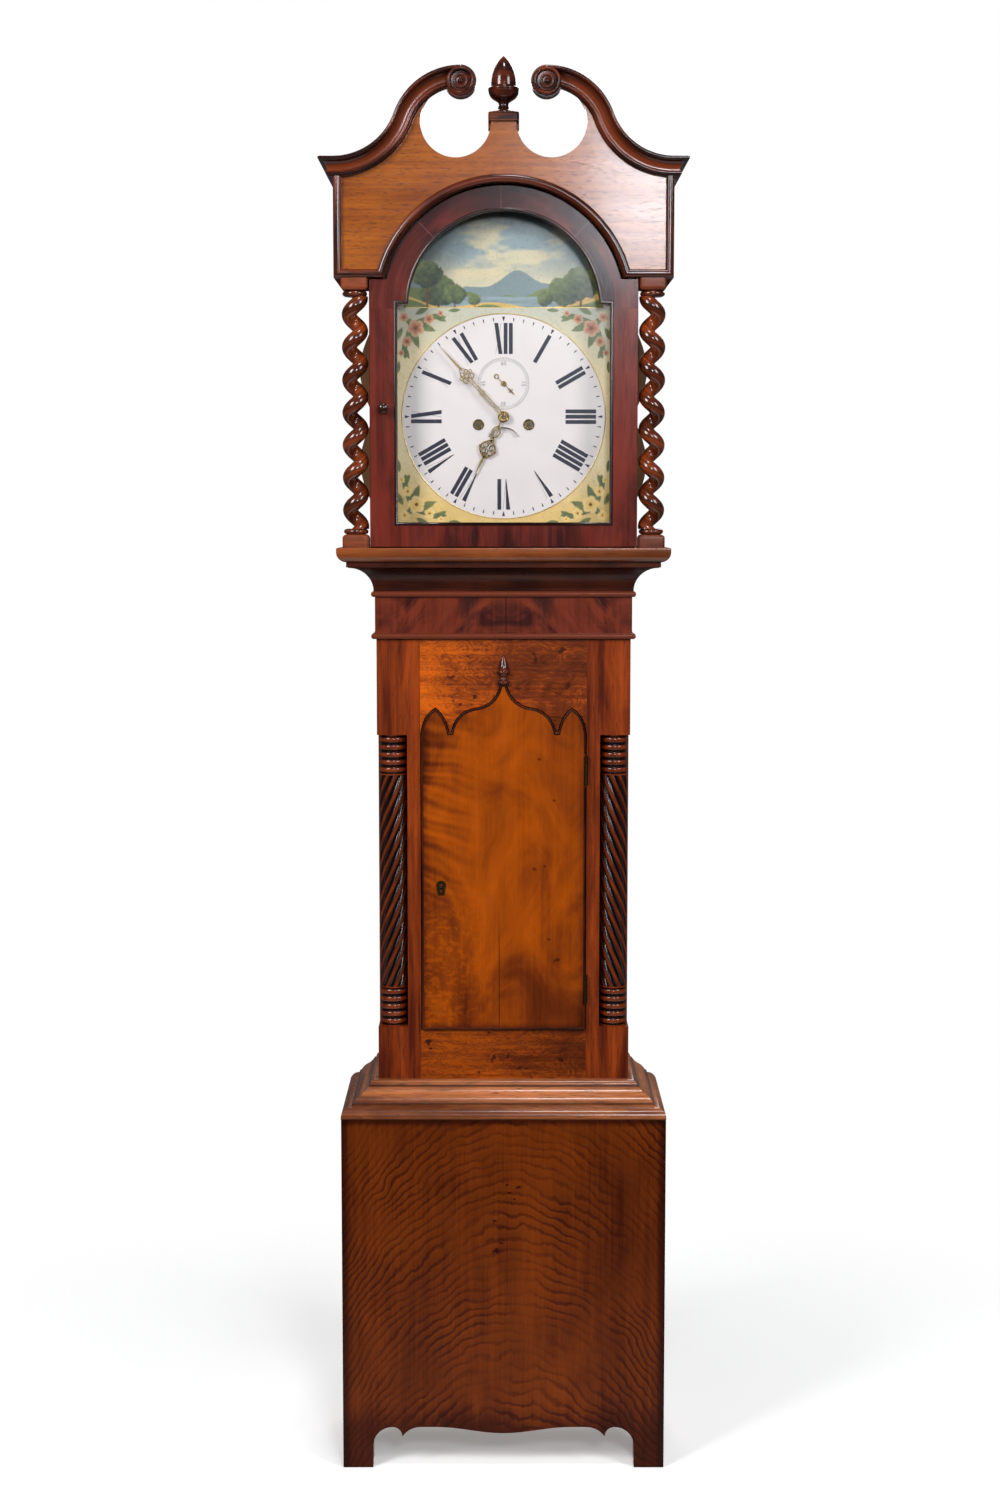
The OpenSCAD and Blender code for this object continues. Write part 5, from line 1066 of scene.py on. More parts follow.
class CLOCK_OT_turnings(bpy.types.Operator):
    """Turns the hood's acorn, the small acorn over the trunk door and the hood door's knob"""

    bl_idname = "clock.turnings"
    bl_label = "Acorns and knob"

    def execute(self, context):
        c = context.scene.clock_colours
        glossy = turned_wood("acorn_mahogany", c.turned_dark, shade(c.turned_light, 0.9), 0.18, 0.45, 0.25)
        mid, half, drop = FACE - 18.0, 24.0, 9.0
        top = PEDESTAL_TOP + 17.0
        shell = Shell()
        cap = chain([[0.01, PEDESTAL_TOP], [half - 0.6, PEDESTAL_TOP], [half, PEDESTAL_TOP + 0.6],
                     [half, top - 8.6], [half - 0.8, top - 8], [half - 1.2, top - 7]],
                    arc(half - 1.2, top - 3, 1.2, 4, -90, 90, 6) - [0, 4], [[0.01, top - 3]])
        shell.add(squared_turning(cap, 20, 0, mid), ring=True)
        # Cheek of the block that hangs down behind the pedestal
        cheek = np.array([[-half, PEDESTAL_TOP - drop], [half, PEDESTAL_TOP - drop],
                          [half, PEDESTAL_TOP + 1], [-half, PEDESTAL_TOP + 1]])
        shell.slab(cheek, mid - half, FACE - 14.0)
        dull = turned_wood("acorn_block_wood", c.turned_dark, (0.25, 0.058, 0.022), 0.3, 0.04, specular=0.12)
        place("acorn_block", shell, dull, "hood", edge=40)
        # Flared foot, neck, cup, and an ogive whose radius is 19.6 (1 - t^2.2)^0.85 at share t of its height
        t = np.linspace(0.02, 1, 30)
        ogive = np.stack([19.6 * (1 - t ** 2.2) ** 0.85 + 0.01, 42.2 + 45.6 * t], 1)
        acorn = chain([[0.01, 0], [21.0, 0], [22.0, 0.9], [21.4, 2.0]],
                      arc(22, 13.2, 14.4, 10.6, 262, 186, 12), [[7.6, 14.5]],
                      arc(19.5, 15, 11.5, 4.6, 172, 140, 3), arc(7.5, 36, 16.6, 17.2, -62, 0, 12),
                      arc(22.6, 37.2, 1.8, 2.1, 0, 84, 6), [[20.6, 40.2], [19.8, 41.4]], ogive)
        place("hood_acorn", Shell().turned(acorn, "up", (0, mid, top - 3), 64), glossy, "hood",
              ("hood_finial",), edge=40)

        # Flared foot, waist, bowl and ring, and a cone whose radius is 8.6 (1 - t^1.5)^0.9
        t = np.linspace(0.02, 1, 20)
        cone = np.stack([8.6 * (1 - t ** 1.5) ** 0.9 + 0.01, 23.6 + 27.3 * t], 1)
        small = chain([[0.01, 0], [8.4, 0], [9.4, 2.0]], arc(7.6, 4.6, 2.8, 2.2, -50, 70, 6),
                      arc(11.4, 12.6, 4.6, 5.2, 232, 140, 8), arc(7.6, 20.4, 2.8, 3.4, -60, -10, 4),
                      arc(10.0, 21.2, 1.4, 1.4, -40, 110, 8), [[8.8, 23.0]], cone)
        place("rail_acorn", Shell().turned(small, "up", (0, TRUNK_D, SHOULDER + 79), 30, 180.0),
              turned_wood("rail_acorn_wood", c.turned_dark, c.turned_light, 0.13, 0.2, 0.3), "case",
              ("door_head_finial",), edge=40)

        knob = chain([[0.01, 0], [7, 0], [7, 1.6]], arc(5.6, 3, 1.6, 1.4, 0, 90, 4), [[4.0, 6], [4.0, 8.5]],
                     arc(0, 13.6, 8.4, 5.8, -58, 88, 16), [[0.01, 19.4]])
        stile_middle = (HOOD_DOOR_HALF + SIGHT_HALF) / 2
        place("door_knob", Shell().turned(knob, "forward", (-stile_middle, DOOR_D, CENTRE_Z + 11.5), 36),
              glossy, "hood_door", ("hood_door_knob",), edge=40)

        # Rivet heads at the corners of the lock case, domes of 3 across by 1 that face the wall
        rivet = chain([[0.01, 0.3], [3, 0.3], [3, -0.2]], arc(0, -0.2, 3, 1.0, 0, -88, 8), [[0.01, -1.2]])
        shell = Shell()
        for x in (LOCK_X - 23, LOCK_X + 23):
            for z in (LOCK_Z - 17, LOCK_Z + 17):
                shell.turned(rivet, "forward", (x, LOCK_D, z), 20)
        place("lock_rivets", shell, metal("rivet_steel", c.steel, 0.3, 0.3), "trunk_door", edge=40)
        return {"FINISHED"}


class CLOCK_OT_dial(bpy.types.Operator):
    """Paints the dial: numerals, minute marks, seconds ring, ferrules and the scenes round them"""

    bl_idname = "clock.dial"
    bl_label = "Dial painting"

    def execute(self, context):
        c = context.scene.clock_colours
        f = Finish("dial_enamel", coat=0.35)
        p = f.place()
        age = f.noise(p, 9, 5)
        base = f.mix(shade(c.enamel, 0.93), c.enamel, age.smooth(0.35, 0.65))
        speck = f.noise(p, 420, 2).smooth(0.68, 0.74) * 0.25
        dress(f.done(f.mix(base, shade(c.enamel, 0.55), speck), 0.3 + (age - 0.5) * 0.2,
                     f.noise(p, 70, 3), 0.06, 0.0003), "dial_plate", "date_disc")

        paint = Finish("oil_paint", coat=0.4)
        p = paint.place()
        tint = paint.node("Attribute", {"attribute_name": "paint"}, out=0)
        brush = paint.noise(p, (260, 60, 260), 4)
        dim = paint.mix(tint, (0.35, 0.3, 0.2), 1.0, "MULTIPLY")
        paint.done(paint.mix(tint, dim, brush.smooth(0.5, 0.8) * 0.35), 0.34 + (brush - 0.5) * 0.3, brush,
                   0.15, 0.0002)
        colours = painting_colours(c)

        # Arch sheet: columns across, rows from the lower edge up to the circle of the plate
        low, r = CENTRE_Z + SCENE_LOW, SIGHT_R + 8.0
        x = np.linspace(-r + 0.2, r - 0.2, 300)[None]
        roof = ARCH_Z + np.sqrt(r * r - x * x)
        z = low + (np.maximum(roof, low + 1) - low) * np.linspace(0, 1, 160)[:, None]
        x = np.broadcast_to(x, z.shape)
        shell = Shell()
        paint_d = DIAL_D + 0.12
        shell.add(grid(x, paint_d, z), sheet=True, paint=lake_view(x, z, colours))
        # Corner sheet: from the gold circle out to the square, in every direction
        a = np.linspace(0, 2 * np.pi, 721)[None, :-1]
        reach = PLATE_HALF / np.maximum(np.abs(np.cos(a)), np.abs(np.sin(a)))
        top = np.where(np.sin(a) > 0, (SCENE_LOW - 0.2) / np.maximum(np.sin(a), 1e-3), 1e9)
        t = np.linspace(0, 1, 64)[:, None]
        ray = GOLD_R + (np.minimum(reach, top) - GOLD_R) * t
        x, z = ray * np.cos(a), CENTRE_Z + ray * np.sin(a)
        shell.add(grid(x, paint_d, z), sheet=True, ring=True, paint=garland_view(x, z, colours))
        place("dial_scenes", shell, paint.material, "case", weld=False)

        lines = Strips(Shell(), DIAL_D, 0.3)
        lines.hoop(0, CENTRE_Z, GOLD_R, 1.8, 180)
        lines.strap(1.2, [-160, CENTRE_Z + SCENE_LOW], [160, CENTRE_Z + SCENE_LOW])
        place("gilt_lines", lines.shell, metal("gilding", c.brass, 0.35), "case")

        ferrules = Shell()
        ring = chain([[6.1, -1.5], [6.1, 0.8]], arc(7.4, 0.6, 1.4, 1.2, 170, 10, 8), [[8.9, 0.05], [8.9, 0]])
        for way in (-1, 1):
            ferrules.turned(chain(ring, [[8.9, 0], [6.1, -1.5]])[:-1], "forward",
                            (way * WINDING_X, DIAL_D, WINDING_Z), 40)
        place("winding_ferrules", ferrules, metal("ferrule_brass", shade(c.brass, 0.3), 0.3, 0.6), "case")
        self.numbers(c)
        return {"FINISHED"}

    def numbers(self, c):
        """Roman hours with their foot to the centre, each stroke a thin plate between two radii; minute
        ticks with darts at the fives; seconds ticks and Arabic seconds numerals."""
        ink, faint = Shell(), Shell()
        inner, outer, bar = 98.5, 147.0, 6.1

        def stroke(shell, hour, u0, u1, w0, w1, v0=inner, v1=outer, zc=CENTRE_Z):
            """Plate from u0 at radius v0 to u1 at radius v1, w0 and w1 wide."""
            cs, sn = turn(90 - 30 * hour)
            u = np.array([u0 - w0 / 2, u0 + w0 / 2, u1 + w1 / 2, u1 - w1 / 2])
            v = np.array([v0, v0, v1, v1])
            shell.slab(np.stack([v * cs + u * sn, zc + v * sn - u * cs], 1), DIAL_D, DIAL_D + 0.25)

        widths = {"I": 8.3, "V": 13.6, "X": 14.6}
        for hour, letters in enumerate("I II III IIII V VI VII VIII IX X XI XII".split(), 1):
            u = -sum(widths[s] for s in letters) / 2
            for s in letters:
                mid = u + widths[s] / 2
                if s == "I":
                    stroke(ink, hour, mid, mid, bar, bar)
                elif s == "V":
                    stroke(ink, hour, mid + 0.4, mid - 3.2, 0.9, bar + 0.6)
                    stroke(faint, hour, mid + 0.6, mid + 4.6, 0.4, 0.5)
                else:
                    stroke(ink, hour, mid + 3.4, mid - 3.4, bar, bar)
                    stroke(faint, hour, mid - 4.4, mid + 4.4, 0.5, 0.5)
                u += widths[s]
        for minute in range(60):
            hour = minute / 5
            if minute % 5:
                stroke(ink, hour, 0, 0, 1.0, 2.0, 150, 155.5)
            else:
                stroke(ink, hour, 0, 0, 0.8, 4.6, 150, 157)
            stroke(faint, hour, 0, 0, 0.5, 0.6, 36.6, 40.4, ESCAPE_Z)
        for second in range(60):
            stroke(faint, second / 5 + 0.1, 0, 0, 0.3, 0.3, 38.6, 40.0, ESCAPE_Z)
        place("hour_numerals", ink, self.paint_of("numeral_ink", c.ink), "case", weld=False)
        grey = self.paint_of("faded_ink", between(c.ink, c.enamel, 0.3))
        Strips(faint, DIAL_D, 0.2).hoops(1, (0, ESCAPE_Z, 40.6, 0.35, 96), (0, ESCAPE_Z, 36.4, 0.3, 96))
        place("faint_marks", faint, grey, "case", weld=False)
        for text, angle in (("60", 0), ("15", 90), ("30", 180), ("45", 270)):
            self.number(text, angle, grey)

    def number(self, text, angle, finish):
        """A small number with its foot to the ring's centre, made a thin mesh."""
        curve = bpy.data.curves.new("seconds_" + text, "FONT")
        curve.body, curve.size, curve.extrude = text, 0.0088, 0.0001
        curve.align_x, curve.align_y, curve.resolution_u = "CENTER", "CENTER", 3
        source = bpy.data.objects.new("source", curve)
        bpy.context.scene.collection.objects.link(source)
        mesh = bpy.data.meshes.new_from_object(source.evaluated_get(bpy.context.evaluated_depsgraph_get()))
        bpy.data.objects.remove(source)
        bpy.data.curves.remove(curve)
        co = np.zeros(len(mesh.vertices) * 3)
        mesh.vertices.foreach_get("co", co)
        co = co.reshape(-1, 3)
        a = math.radians(angle)
        r = 0.0315
        x = co[:, 0] * math.cos(a) + (co[:, 1] + r) * math.sin(a)
        z = ESCAPE_Z / 1000 + (co[:, 1] + r) * math.cos(a) - co[:, 0] * math.sin(a)
        y = (WALL - DIAL_D) / 1000 - 0.00012 - co[:, 2]
        mesh.vertices.foreach_set("co", np.stack([x, y, z], 1).ravel())
        mesh.update()
        piece = bpy.data.objects.new("seconds_" + text, mesh)
        bpy.context.scene.collection.objects.link(piece)
        mesh.materials.clear()
        mesh.materials.append(finish)
        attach(piece, "case")

    def paint_of(self, name, colour):
        """Paint of one colour that small clouds wear a little paler."""
        f = Finish(name)
        worn = f.noise(f.place(), 160, 4)
        f.set("Base Color", f.mix(colour, between(colour, (0.8, 0.72, 0.66), 0.12), worn.smooth(0.6, 0.78)))
        f.set("Roughness", 0.38 + (worn - 0.5) * 0.2)
        return f.material


class CLOCK_OT_hands(bpy.types.Operator):
    """Cuts the three pierced hands from flat straps and rings"""

    bl_idname = "clock.hands"
    bl_label = "Hands"

    def execute(self, context):
        size, c = context.scene.clock_sizes, context.scene.clock_colours
        # Brass darkened to 0.62 of its colour: painted shade for the shadowed look of the thin hands
        brass = metal("hand_brass", shade(c.brass, 0.62), 0.3, 0.5)
        for name, z, angle, d0, thick, draw, body in (
                ("minute_hand", CENTRE_Z, 317.5, MINUTE_D, 1.2, self.minute, "centre_arbor"),
                ("hour_hand", CENTRE_Z, 206.5, HOUR_D + 0.1, 1.2, self.hour, "hour_work"),
                ("seconds_hand", ESCAPE_Z, 135.0, DIAL_D + 0.5, 0.9, self.seconds, "escape_arbor")):
            cut = Strips(Shell(), d0, thick)
            draw(cut, size)
            cs, sn = turn(angle)
            cut.shell.points = [grid(x * cs + up * sn, y, z / 1000 + up * cs - x * sn)
                                for x, y, up in (p.T for p in cut.shell.points)]
            place(name + "_piece", cut.shell, brass, body, (name,))
        return {"FINISHED"}

    def minute(self, cut, size):
        """Lattice stem of two wires and small rings, a knot of rings and scrolls, and a long point."""
        cut.boss(8.6, 2.4)
        for way in (-1, 1):
            cut.strap(1.15, [way * 2.7, 7], [way * 2.3, 76])
            cut.hoops(way, (5.6, 82, 4.4, 1.6, 20), (9.6, 88.5, 2.2, 1.2, 14), (4.0, 92.5, 3.0, 1.3, 16))
            cut.strap(1.3, [way * 2.2, 75], [way * 7.4, 90], [way * 3.4, 99], [0, 104])
            cut.strap(1.1, [0, 46], [way * 5.2, 50], [0, 54])
        lattice = Strips(cut.shell, cut.d0, cut.thick * 0.9)
        lattice.hoops(1, *((0, 11.5 + 7.0 * k, 2.4, 0.95, 14) for k in range(10)))
        cut.hoop(0, 86, 3.6, 1.4, 18)
        cut.spear(97, size.minute_length * 1000, 3.0)

    def hour(self, cut, size):
        """Boss, an oval link, a wide pierced lobe with rings and scrolls, and a point."""
        cut.boss(9.0, 4.6)
        cut.strap(3.0, [0, 7.5], [0, 20])
        cut.link(17, 37, 6.4, 2.0)
        cut.link(21, 34, 2.8, 1.3)
        cut.strap(3.0, [0, 35], [0, 43])
        cut.hoop(0, 41.5, 3.4, 1.5, 16)
        cut.link(42, 72, 12.4, 2.4)
        for way in (-1, 1):
            cut.hoops(way, (5.6, 52, 4.0, 1.6, 18), (5.6, 61.5, 3.8, 1.6, 18), (12.6, 57, 2.0, 1.3, 14))
            cut.strap(1.4, [0, 43], [way * 2.6, 56.5], [0, 71])
        cut.hoop(0, 66.5, 3.0, 1.3, 16)
        cut.spear(70, size.hour_length * 1000, 4.0)

    def seconds(self, cut, size):
        """Boss, ring for a counterpoise, and a pointer with a small cross."""
        end = size.seconds_length * 1000
        cut.boss(4.4, 1.05)
        cut.strap(1.3, [0, -13], [0, -3.4])
        cut.hoop(0, -16, 3.2, 1.6, 18)
        cut.strap(1.3, [0, 3.4], [0, end - 5])
        cut.strap(1.5, [-4, end - 9], [4, end - 9])
        cut.strap(1.2, [-2.4, end - 12.5], [2.4, end - 12.5])
        cut.spear(end - 8, end, 2.2)


class CLOCK_OT_lines(bpy.types.Operator):
    """Stretches the gut lines from the drums down round the pulleys and up to the seat board"""

    bl_idname = "clock.lines"
    bl_label = "Gut lines"

    def execute(self, context):
        f = Finish("twisted_gut", coat=0.2)
        x, _, z = f.axes()
        twist = (z * 2600 + x * 1500).sine()
        gut = f.done(f.mix((0.34, 0.22, 0.09), (0.62, 0.46, 0.24), twist * 0.5 + 0.5), 0.45 + twist * 0.1,
                     twist, 0.4, 0.0003)
        r, gone = 0.8, PULLEY_Z + WEIGHT_FALL
        for side, way in (("left", -1), ("right", 1)):
            near, far = way * (PULLEY_X - LINE_R), way * (PULLEY_X + LINE_R)
            for part, x0, top in (("near", near, WINDING_Z), ("far", far, SEAT_TOP)):
                profile = np.c_[np.full(40, r), np.linspace(PULLEY_Z, top, 40)]
                line = place(f"line_{side}_{part}", Shell().turned(profile, "up", (x0, DRUM_D, 0), 10), gut,
                             "case", (f"gut_line_{side}",) if part == "near" else ())
                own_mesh(line)
            # Half turn under the pulley: circle of radius r carried round radius LINE_R
            a = np.linspace(np.pi, 2 * np.pi, 33)[:, None]
            b = np.linspace(0, 2 * np.pi, 10, endpoint=False)[None]
            ring = LINE_R + r * np.cos(b)
            half_turn = grid(way * PULLEY_X + ring * np.cos(a), DRUM_D + r * np.sin(b),
                             PULLEY_Z + ring * np.sin(a))
            place(f"line_{side}_turn", Shell().add(half_turn, ring=True), gut, f"weight_{side}")
            knot = chain([[0.01, 0]], arc(0, 2.6, 3.4, 2.6, -80, 88, 12), [[0.01, 5.3]])
            place(f"line_{side}_knot", Shell().turned(knot, "up", (far, DRUM_D, SEAT_TOP), 18), gut, "case")
        return {"FINISHED"}


class CLOCK_OT_finishes(bpy.types.Operator):
    """Gives the solids of the case, the hood and the movement their woods and metals"""

    bl_idname = "clock.finishes"
    bl_label = "Woods and metals"

    def execute(self, context):
        c = context.scene.clock_colours

        def base_ripple(f):
            """Nested arches: dark lines where height + 2.8 across^2, bent by noise, is a whole number of 18
            mm steps; painted shade darkens the panel towards its sides, under the plinth moulding and towards
            the feet."""
            p = f.place()
            x, _, z = f.split(p)
            wave = f.sway(0.085, p, 6, 2) + f.sway(0.034, p, (28, 28, 22), 4)
            arch = z + (x - 0.02) ** 2 * 2.8 + wave
            lines = (arch * 349).sine().smooth(0.1, 1.0)
            fade = f.noise(p, 8, 3).smooth(0.36, 0.64) * 0.85 + 0.15 - abs(x).smooth(0.14, 0.26) * 0.1
            # Painted shade: darker at the panel's sides, under the plinth moulding and towards the feet
            edge = (abs(x).smooth(0.245, 0.264) + z.smooth(0.57, 0.586)
                    + (1 - z.smooth(0.05, 0.12)) * 0.6) * 0.32
            knots = self.spots(f, (
                (0.006, 0.476, 0.005), (0.024, 0.472, 0.005), (0.010, 0.463, 0.004), (0.017, 0.452, 0.0035),
                (-0.002, 0.378, 0.005), (-0.011, 0.366, 0.008), (-0.014, 0.416, 0.006)))
            soft = (arch * 349 + 1.2).sine() * 0.5
            return ((0.25 - lines) * 0.18 + soft * 0.06) * fade - edge - knots * 0.3 + 0.04

        dress(wood("base_oak", c.oak_dark, c.oak_light, "z", 0.2, 0.2, 0.25, ripple=base_ripple, pores=0.25,
                   coat=0.0, specular=0.07, blotch=0.35), "base_front_panel")

        def door_ripple(f):
            """Wide soft bands at the left that lean a little, a glow up the middle, quilted flecks below
            left."""
            p = f.place()
            x, _, z = f.split(p)
            lean = z + x * 0.3 + f.sway(0.08, p, 5, 2)
            band = (lean * 170).sine() * 0.5 + (lean * 410 + f.noise(p, 20, 2) * 5).sine() * 0.35
            left = (1 - x.smooth(-0.11, -0.02)) * z.smooth(0.88, 1.0)
            quilt = (f.noise(p, (90, 90, 160), 2).smooth(0.45, 0.65) * (1 - x.smooth(-0.09, -0.01))
                     * (1 - z.smooth(0.88, 1.0)))
            dim = abs(x - 0.03) - (0.93 - z) * 0.35 + f.sway(0.06, p, 12, 3)
            cone = (1 - dim.smooth(-0.03, 0.04)) * (1 - z.smooth(0.80, 0.93))
            glow = x.line(0.015, 0.0, 0.13) * 0.16
            edge = abs(x).smooth(0.118, 0.135) * 0.2 + (1 - z.smooth(0.718, 0.735)) * 0.25
            knots = self.spots(f, (
                (0.058, 1.165, 0.004), (0.082, 1.098, 0.004), (0.052, 0.985, 0.006), (0.067, 0.99, 0.004),
                (0.072, 0.87, 0.005), (0.086, 0.835, 0.006)))
            return band * left * 0.17 + quilt * 0.13 - cone * 0.06 + glow - edge - knots * 0.25 - 0.06

        dress(wood("door_oak", c.door_dark, c.door_light, "z", 0.15, 0.2, 0.8, (6, 9, 5), pores=0.25,
                   roughness=0.25, coat=0.1, specular=0.15, blotch=0.6, ripple=door_ripple, extra=self.joint),
              "trunk_door")

        def burr(f):
            """Small curls: sine of warped noise, with a few dark knots."""
            p = f.place()
            knots = f.noise(p, 46, 2).smooth(0.66, 0.74)
            curls = (f.noise(p, (18, 18, 40), 3, 0.6, 2.0) * 40).sine() * 0.06
            return curls - knots * 0.4 - f.split(p)[0].smooth(-0.03, 0.05) * 0.12

        dress(wood("rail_burr", shade(c.door_dark, 1.2), shade(c.door_light, 1.8), "x", 0.25, 0.35, 0.5,
                   (9, 9, 9), ripple=burr, pores=0.3), "trunk_top_rail")
        dress(wood("rail_oak", shade(c.door_dark, 0.9), shade(c.door_light, 1.1), "x", 0.7, 0.4, 0.4,
                   ripple=burr, pores=0.4), "trunk_bottom_rail")
        dress(wood("side_oak", c.oak_dark, shade(c.oak_light, 1.3), roughness=0.4, coat=0.03, specular=0.14),
              "base_sides", "trunk_sides", "hood_sides")
        dress(wood("top_oak", c.oak_dark, shade(c.oak_light, 1.3), "y", roughness=0.6, coat=0.0,
                   specular=0.12), "hood_top_box")
        dress(wood("tympanum_oak", c.pale_dark, c.pale_light, "x", 0.25, 0.3, 0.3, pores=0.7, coat=0.35,
                   pore_scale=(85, 620, 620), specular=0.25, roughness=0.22, blotch=0.3), "tympanum")
        dress(wood("post_mahogany", c.post_dark, c.post_light, "z", 0.7, 0.3, 0.6, (3, 18, 18),
                   specular=0.14, coat=0.05), "corner_posts")
        dress(self.flame(c), "frieze_panel")
        dress(self.veneer(c), "hood_door_frame")
        dress(wood("mask_wood", shade(c.turned_dark, 0.5), c.mahogany_dark, "z", coat=0.05), "dial_mask")
        for name, dark, along, nodes in (("pine_wood", 0.5, "z", ("backboard",)),
                                         ("pine_boards", 0.45, "x", ("seat_board", "base_inner_frame"))):
            dress(wood(name, shade(c.pine, dark), c.pine, along, 0.8, 0.4, 0.2, pores=0.2, roughness=0.6,
                       coat=0.0), *nodes)

        brass = metal("clock_brass", c.brass, 0.28, 0.4)
        dress(brass, "movement_frame", "bell", "minute_wheel", "hour_wheel", "pulley_left", "pulley_right",
              "hood_door_pivots")
        dress(metal("hinge_brass", shade(c.brass, 0.12), 0.35, 0.6), "case_hinge_leaves", "door_hinge_leaves")
        dress(metal("bolt_brass", c.brass, 0.35, 0.5), "lock_bolt")
        steel = metal("clock_steel", c.steel, 0.3, 0.5)
        dress(steel, "anchor", "strike_hammer")
        # Steel arbors in brass wheels: across, height and radius
        arbors = {"centre_wheel": (0, CENTRE_Z, 2.7), "third_wheel": (9.938, 1740.138, 2.3),
                  "escape_wheel": (0, ESCAPE_Z, 2.3), "pin_wheel": (-43.847, 1737.098, 2.3),
                  "gathering_wheel": (-39.744, 1760.364, 2.3), "going_barrel": (WINDING_X, WINDING_Z, 6.3),
                  "strike_barrel": (-WINDING_X, WINDING_Z, 6.3)}
        # The arbors' steel is taken darker, at 0.45 of the steel colour: on the barrels' winding squares this
        # is painted shade inside the dial's winding holes
        for node, (x, z, r) in arbors.items():
            dress(metal(node + "_metal", c.brass, 0.26, 0.35, shade(c.steel, 0.45), near_axis(x, z, r)), node)
        dress(metal("pendulum_metal", c.steel, 0.3, 0.4, c.brass, near_axis(0, BOB_Z, BOB_R)), "pendulum")

        def over_weight(f):
            """1 above the lead: height over 399 mm at rest."""
            return f.axes()[2].smooth(0.3985, 0.3992)

        for side in ("left", "right"):
            dress(metal(f"weight_{side}_metal", c.lead, 0.55, 0.5, c.brass, over_weight), f"weight_{side}")

        def front_plate(f):
            """1 in front of the door's face, where the escutcheon lies."""
            return 1 - f.axes()[1].smooth(-0.0602, -0.0599)

        dress(metal("lock_metal", c.steel, 0.35, 0.6, shade(c.brass, 0.12), front_plate), "door_lock")

        glass = Finish("old_glass")
        wave = glass.noise(glass.place(), 7, 2)
        glass.set("Alpha", 0.04 + wave * 0.03)
        dress(glass.done(glass.mix((0.03, 0.04, 0.04), (0.05, 0.06, 0.06), wave), 0.03, wave, 0.06, 0.002),
              "hood_door_glass")
        return {"FINISHED"}

    def spots(self, f, places):
        """Sum of ragged spots [x, z, radius]: each is 1 inside and 0 outside an oval bent by noise."""
        p = f.place()
        x, _, z = f.split(p)
        rag = f.noise(p, 160, 2) - 0.5
        return sum(1 - (((x - kx) ** 2 + ((z - kz) * 1.6) ** 2).root() + rag * r * 3.0).smooth(r * 0.1, r)
                   for kx, kz, r in places)

    def joint(self, f, colour):
        """A fine dark joint up the middle of the door's lower part."""
        x, _, z = f.axes()
        line = x.line(-0.007, 0.0005, 0.0016) * (1 - z.smooth(0.84, 0.93))
        return f.mix(colour, (0.05, 0.010, 0.002), line * 0.7)

    def flame(self, c):
        """Frieze veneer: two leaves mirrored about a joint a little right of the middle, each with
        dark and red flames."""

        def vector(f):
            """Grain that leans outwards with height: side is the distance from the joint."""
            x, y, z = f.axes()
            side = abs(x - 0.004)
            return f.join(z * 0.9 + side * 0.5, side, y)

        def joint(f, colour):
            """The fine dark joint between the two leaves."""
            line = f.axes()[0].line(0.004, 0.0004, 0.0012)
            return f.mix(colour, (0.012, 0.003, 0.003), line * 0.7)

        return wood("frieze_mahogany", c.frieze_dark, c.frieze_light, vector=vector, extra=joint,
                    streaks=0.15, fibres=0.25, figure=1.1, figure_scale=(15, 13, 13), coat=0.25,
                    roughness=0.24, pores=0.15)

    def veneer(self, c):
        """Mahogany veneer of the hood door: the grain runs up the stiles, round the arch and up in short
        pieces along the lower rail, with fine joints between."""
        arch = ARCH_Z / 1000

        def vector(f):
            """Grain by height below the arch's centre, and by the angle round it above."""
            x, y, z = f.axes()
            angle = f.node("Math", {"operation": "ARCTAN2"}, {0: z - arch, 1: x})
            r = (x * x + (z - arch) ** 2).root()
            return f.mix_vector(f.join(z, x, y), f.join(angle * 0.17, r, y), (z - arch) > 0.0)

        def joints(f, colour):
            """Joints at the arch's top and shoulders and across the lower rail, patches, and painted shade
            along the top of the arch, below the tympanum.
            """
            x, _, z = f.axes()
            lower, upper = z < SIGHT_LOW / 1000, (z - arch) > 0.0
            top = x.line(-0.004, 0.0003, 0.0009)
            lean = abs(x).line(z - arch, 0.0004, 0.0011)
            split = abs(x).line(0.075, 0.0003, 0.0009)
            patch = (f.noise(f.place(), (6, 6, 2), 1) - 0.5).smooth(-0.04, 0.04) * 0.3
            colour = f.mix(colour, shade(c.mahogany_light, 1.2), patch)
            colour = f.mix(colour, (0.30, 0.13, 0.12), upper * (top + lean) * 0.35)
            # Painted shade along the top of the arch, below the tympanum
            edge = z.smooth(2.04, 2.064) * 0.5
            return f.mix(colour, (0.006, 0.002, 0.002), lower * split * 0.6 + edge)

        return wood("door_veneer", c.mahogany_dark, c.mahogany_light, vector=vector, extra=joints, figure=1.1,
                    figure_scale=(4, 18, 18), coat=0.14, specular=0.18, roughness=0.24)


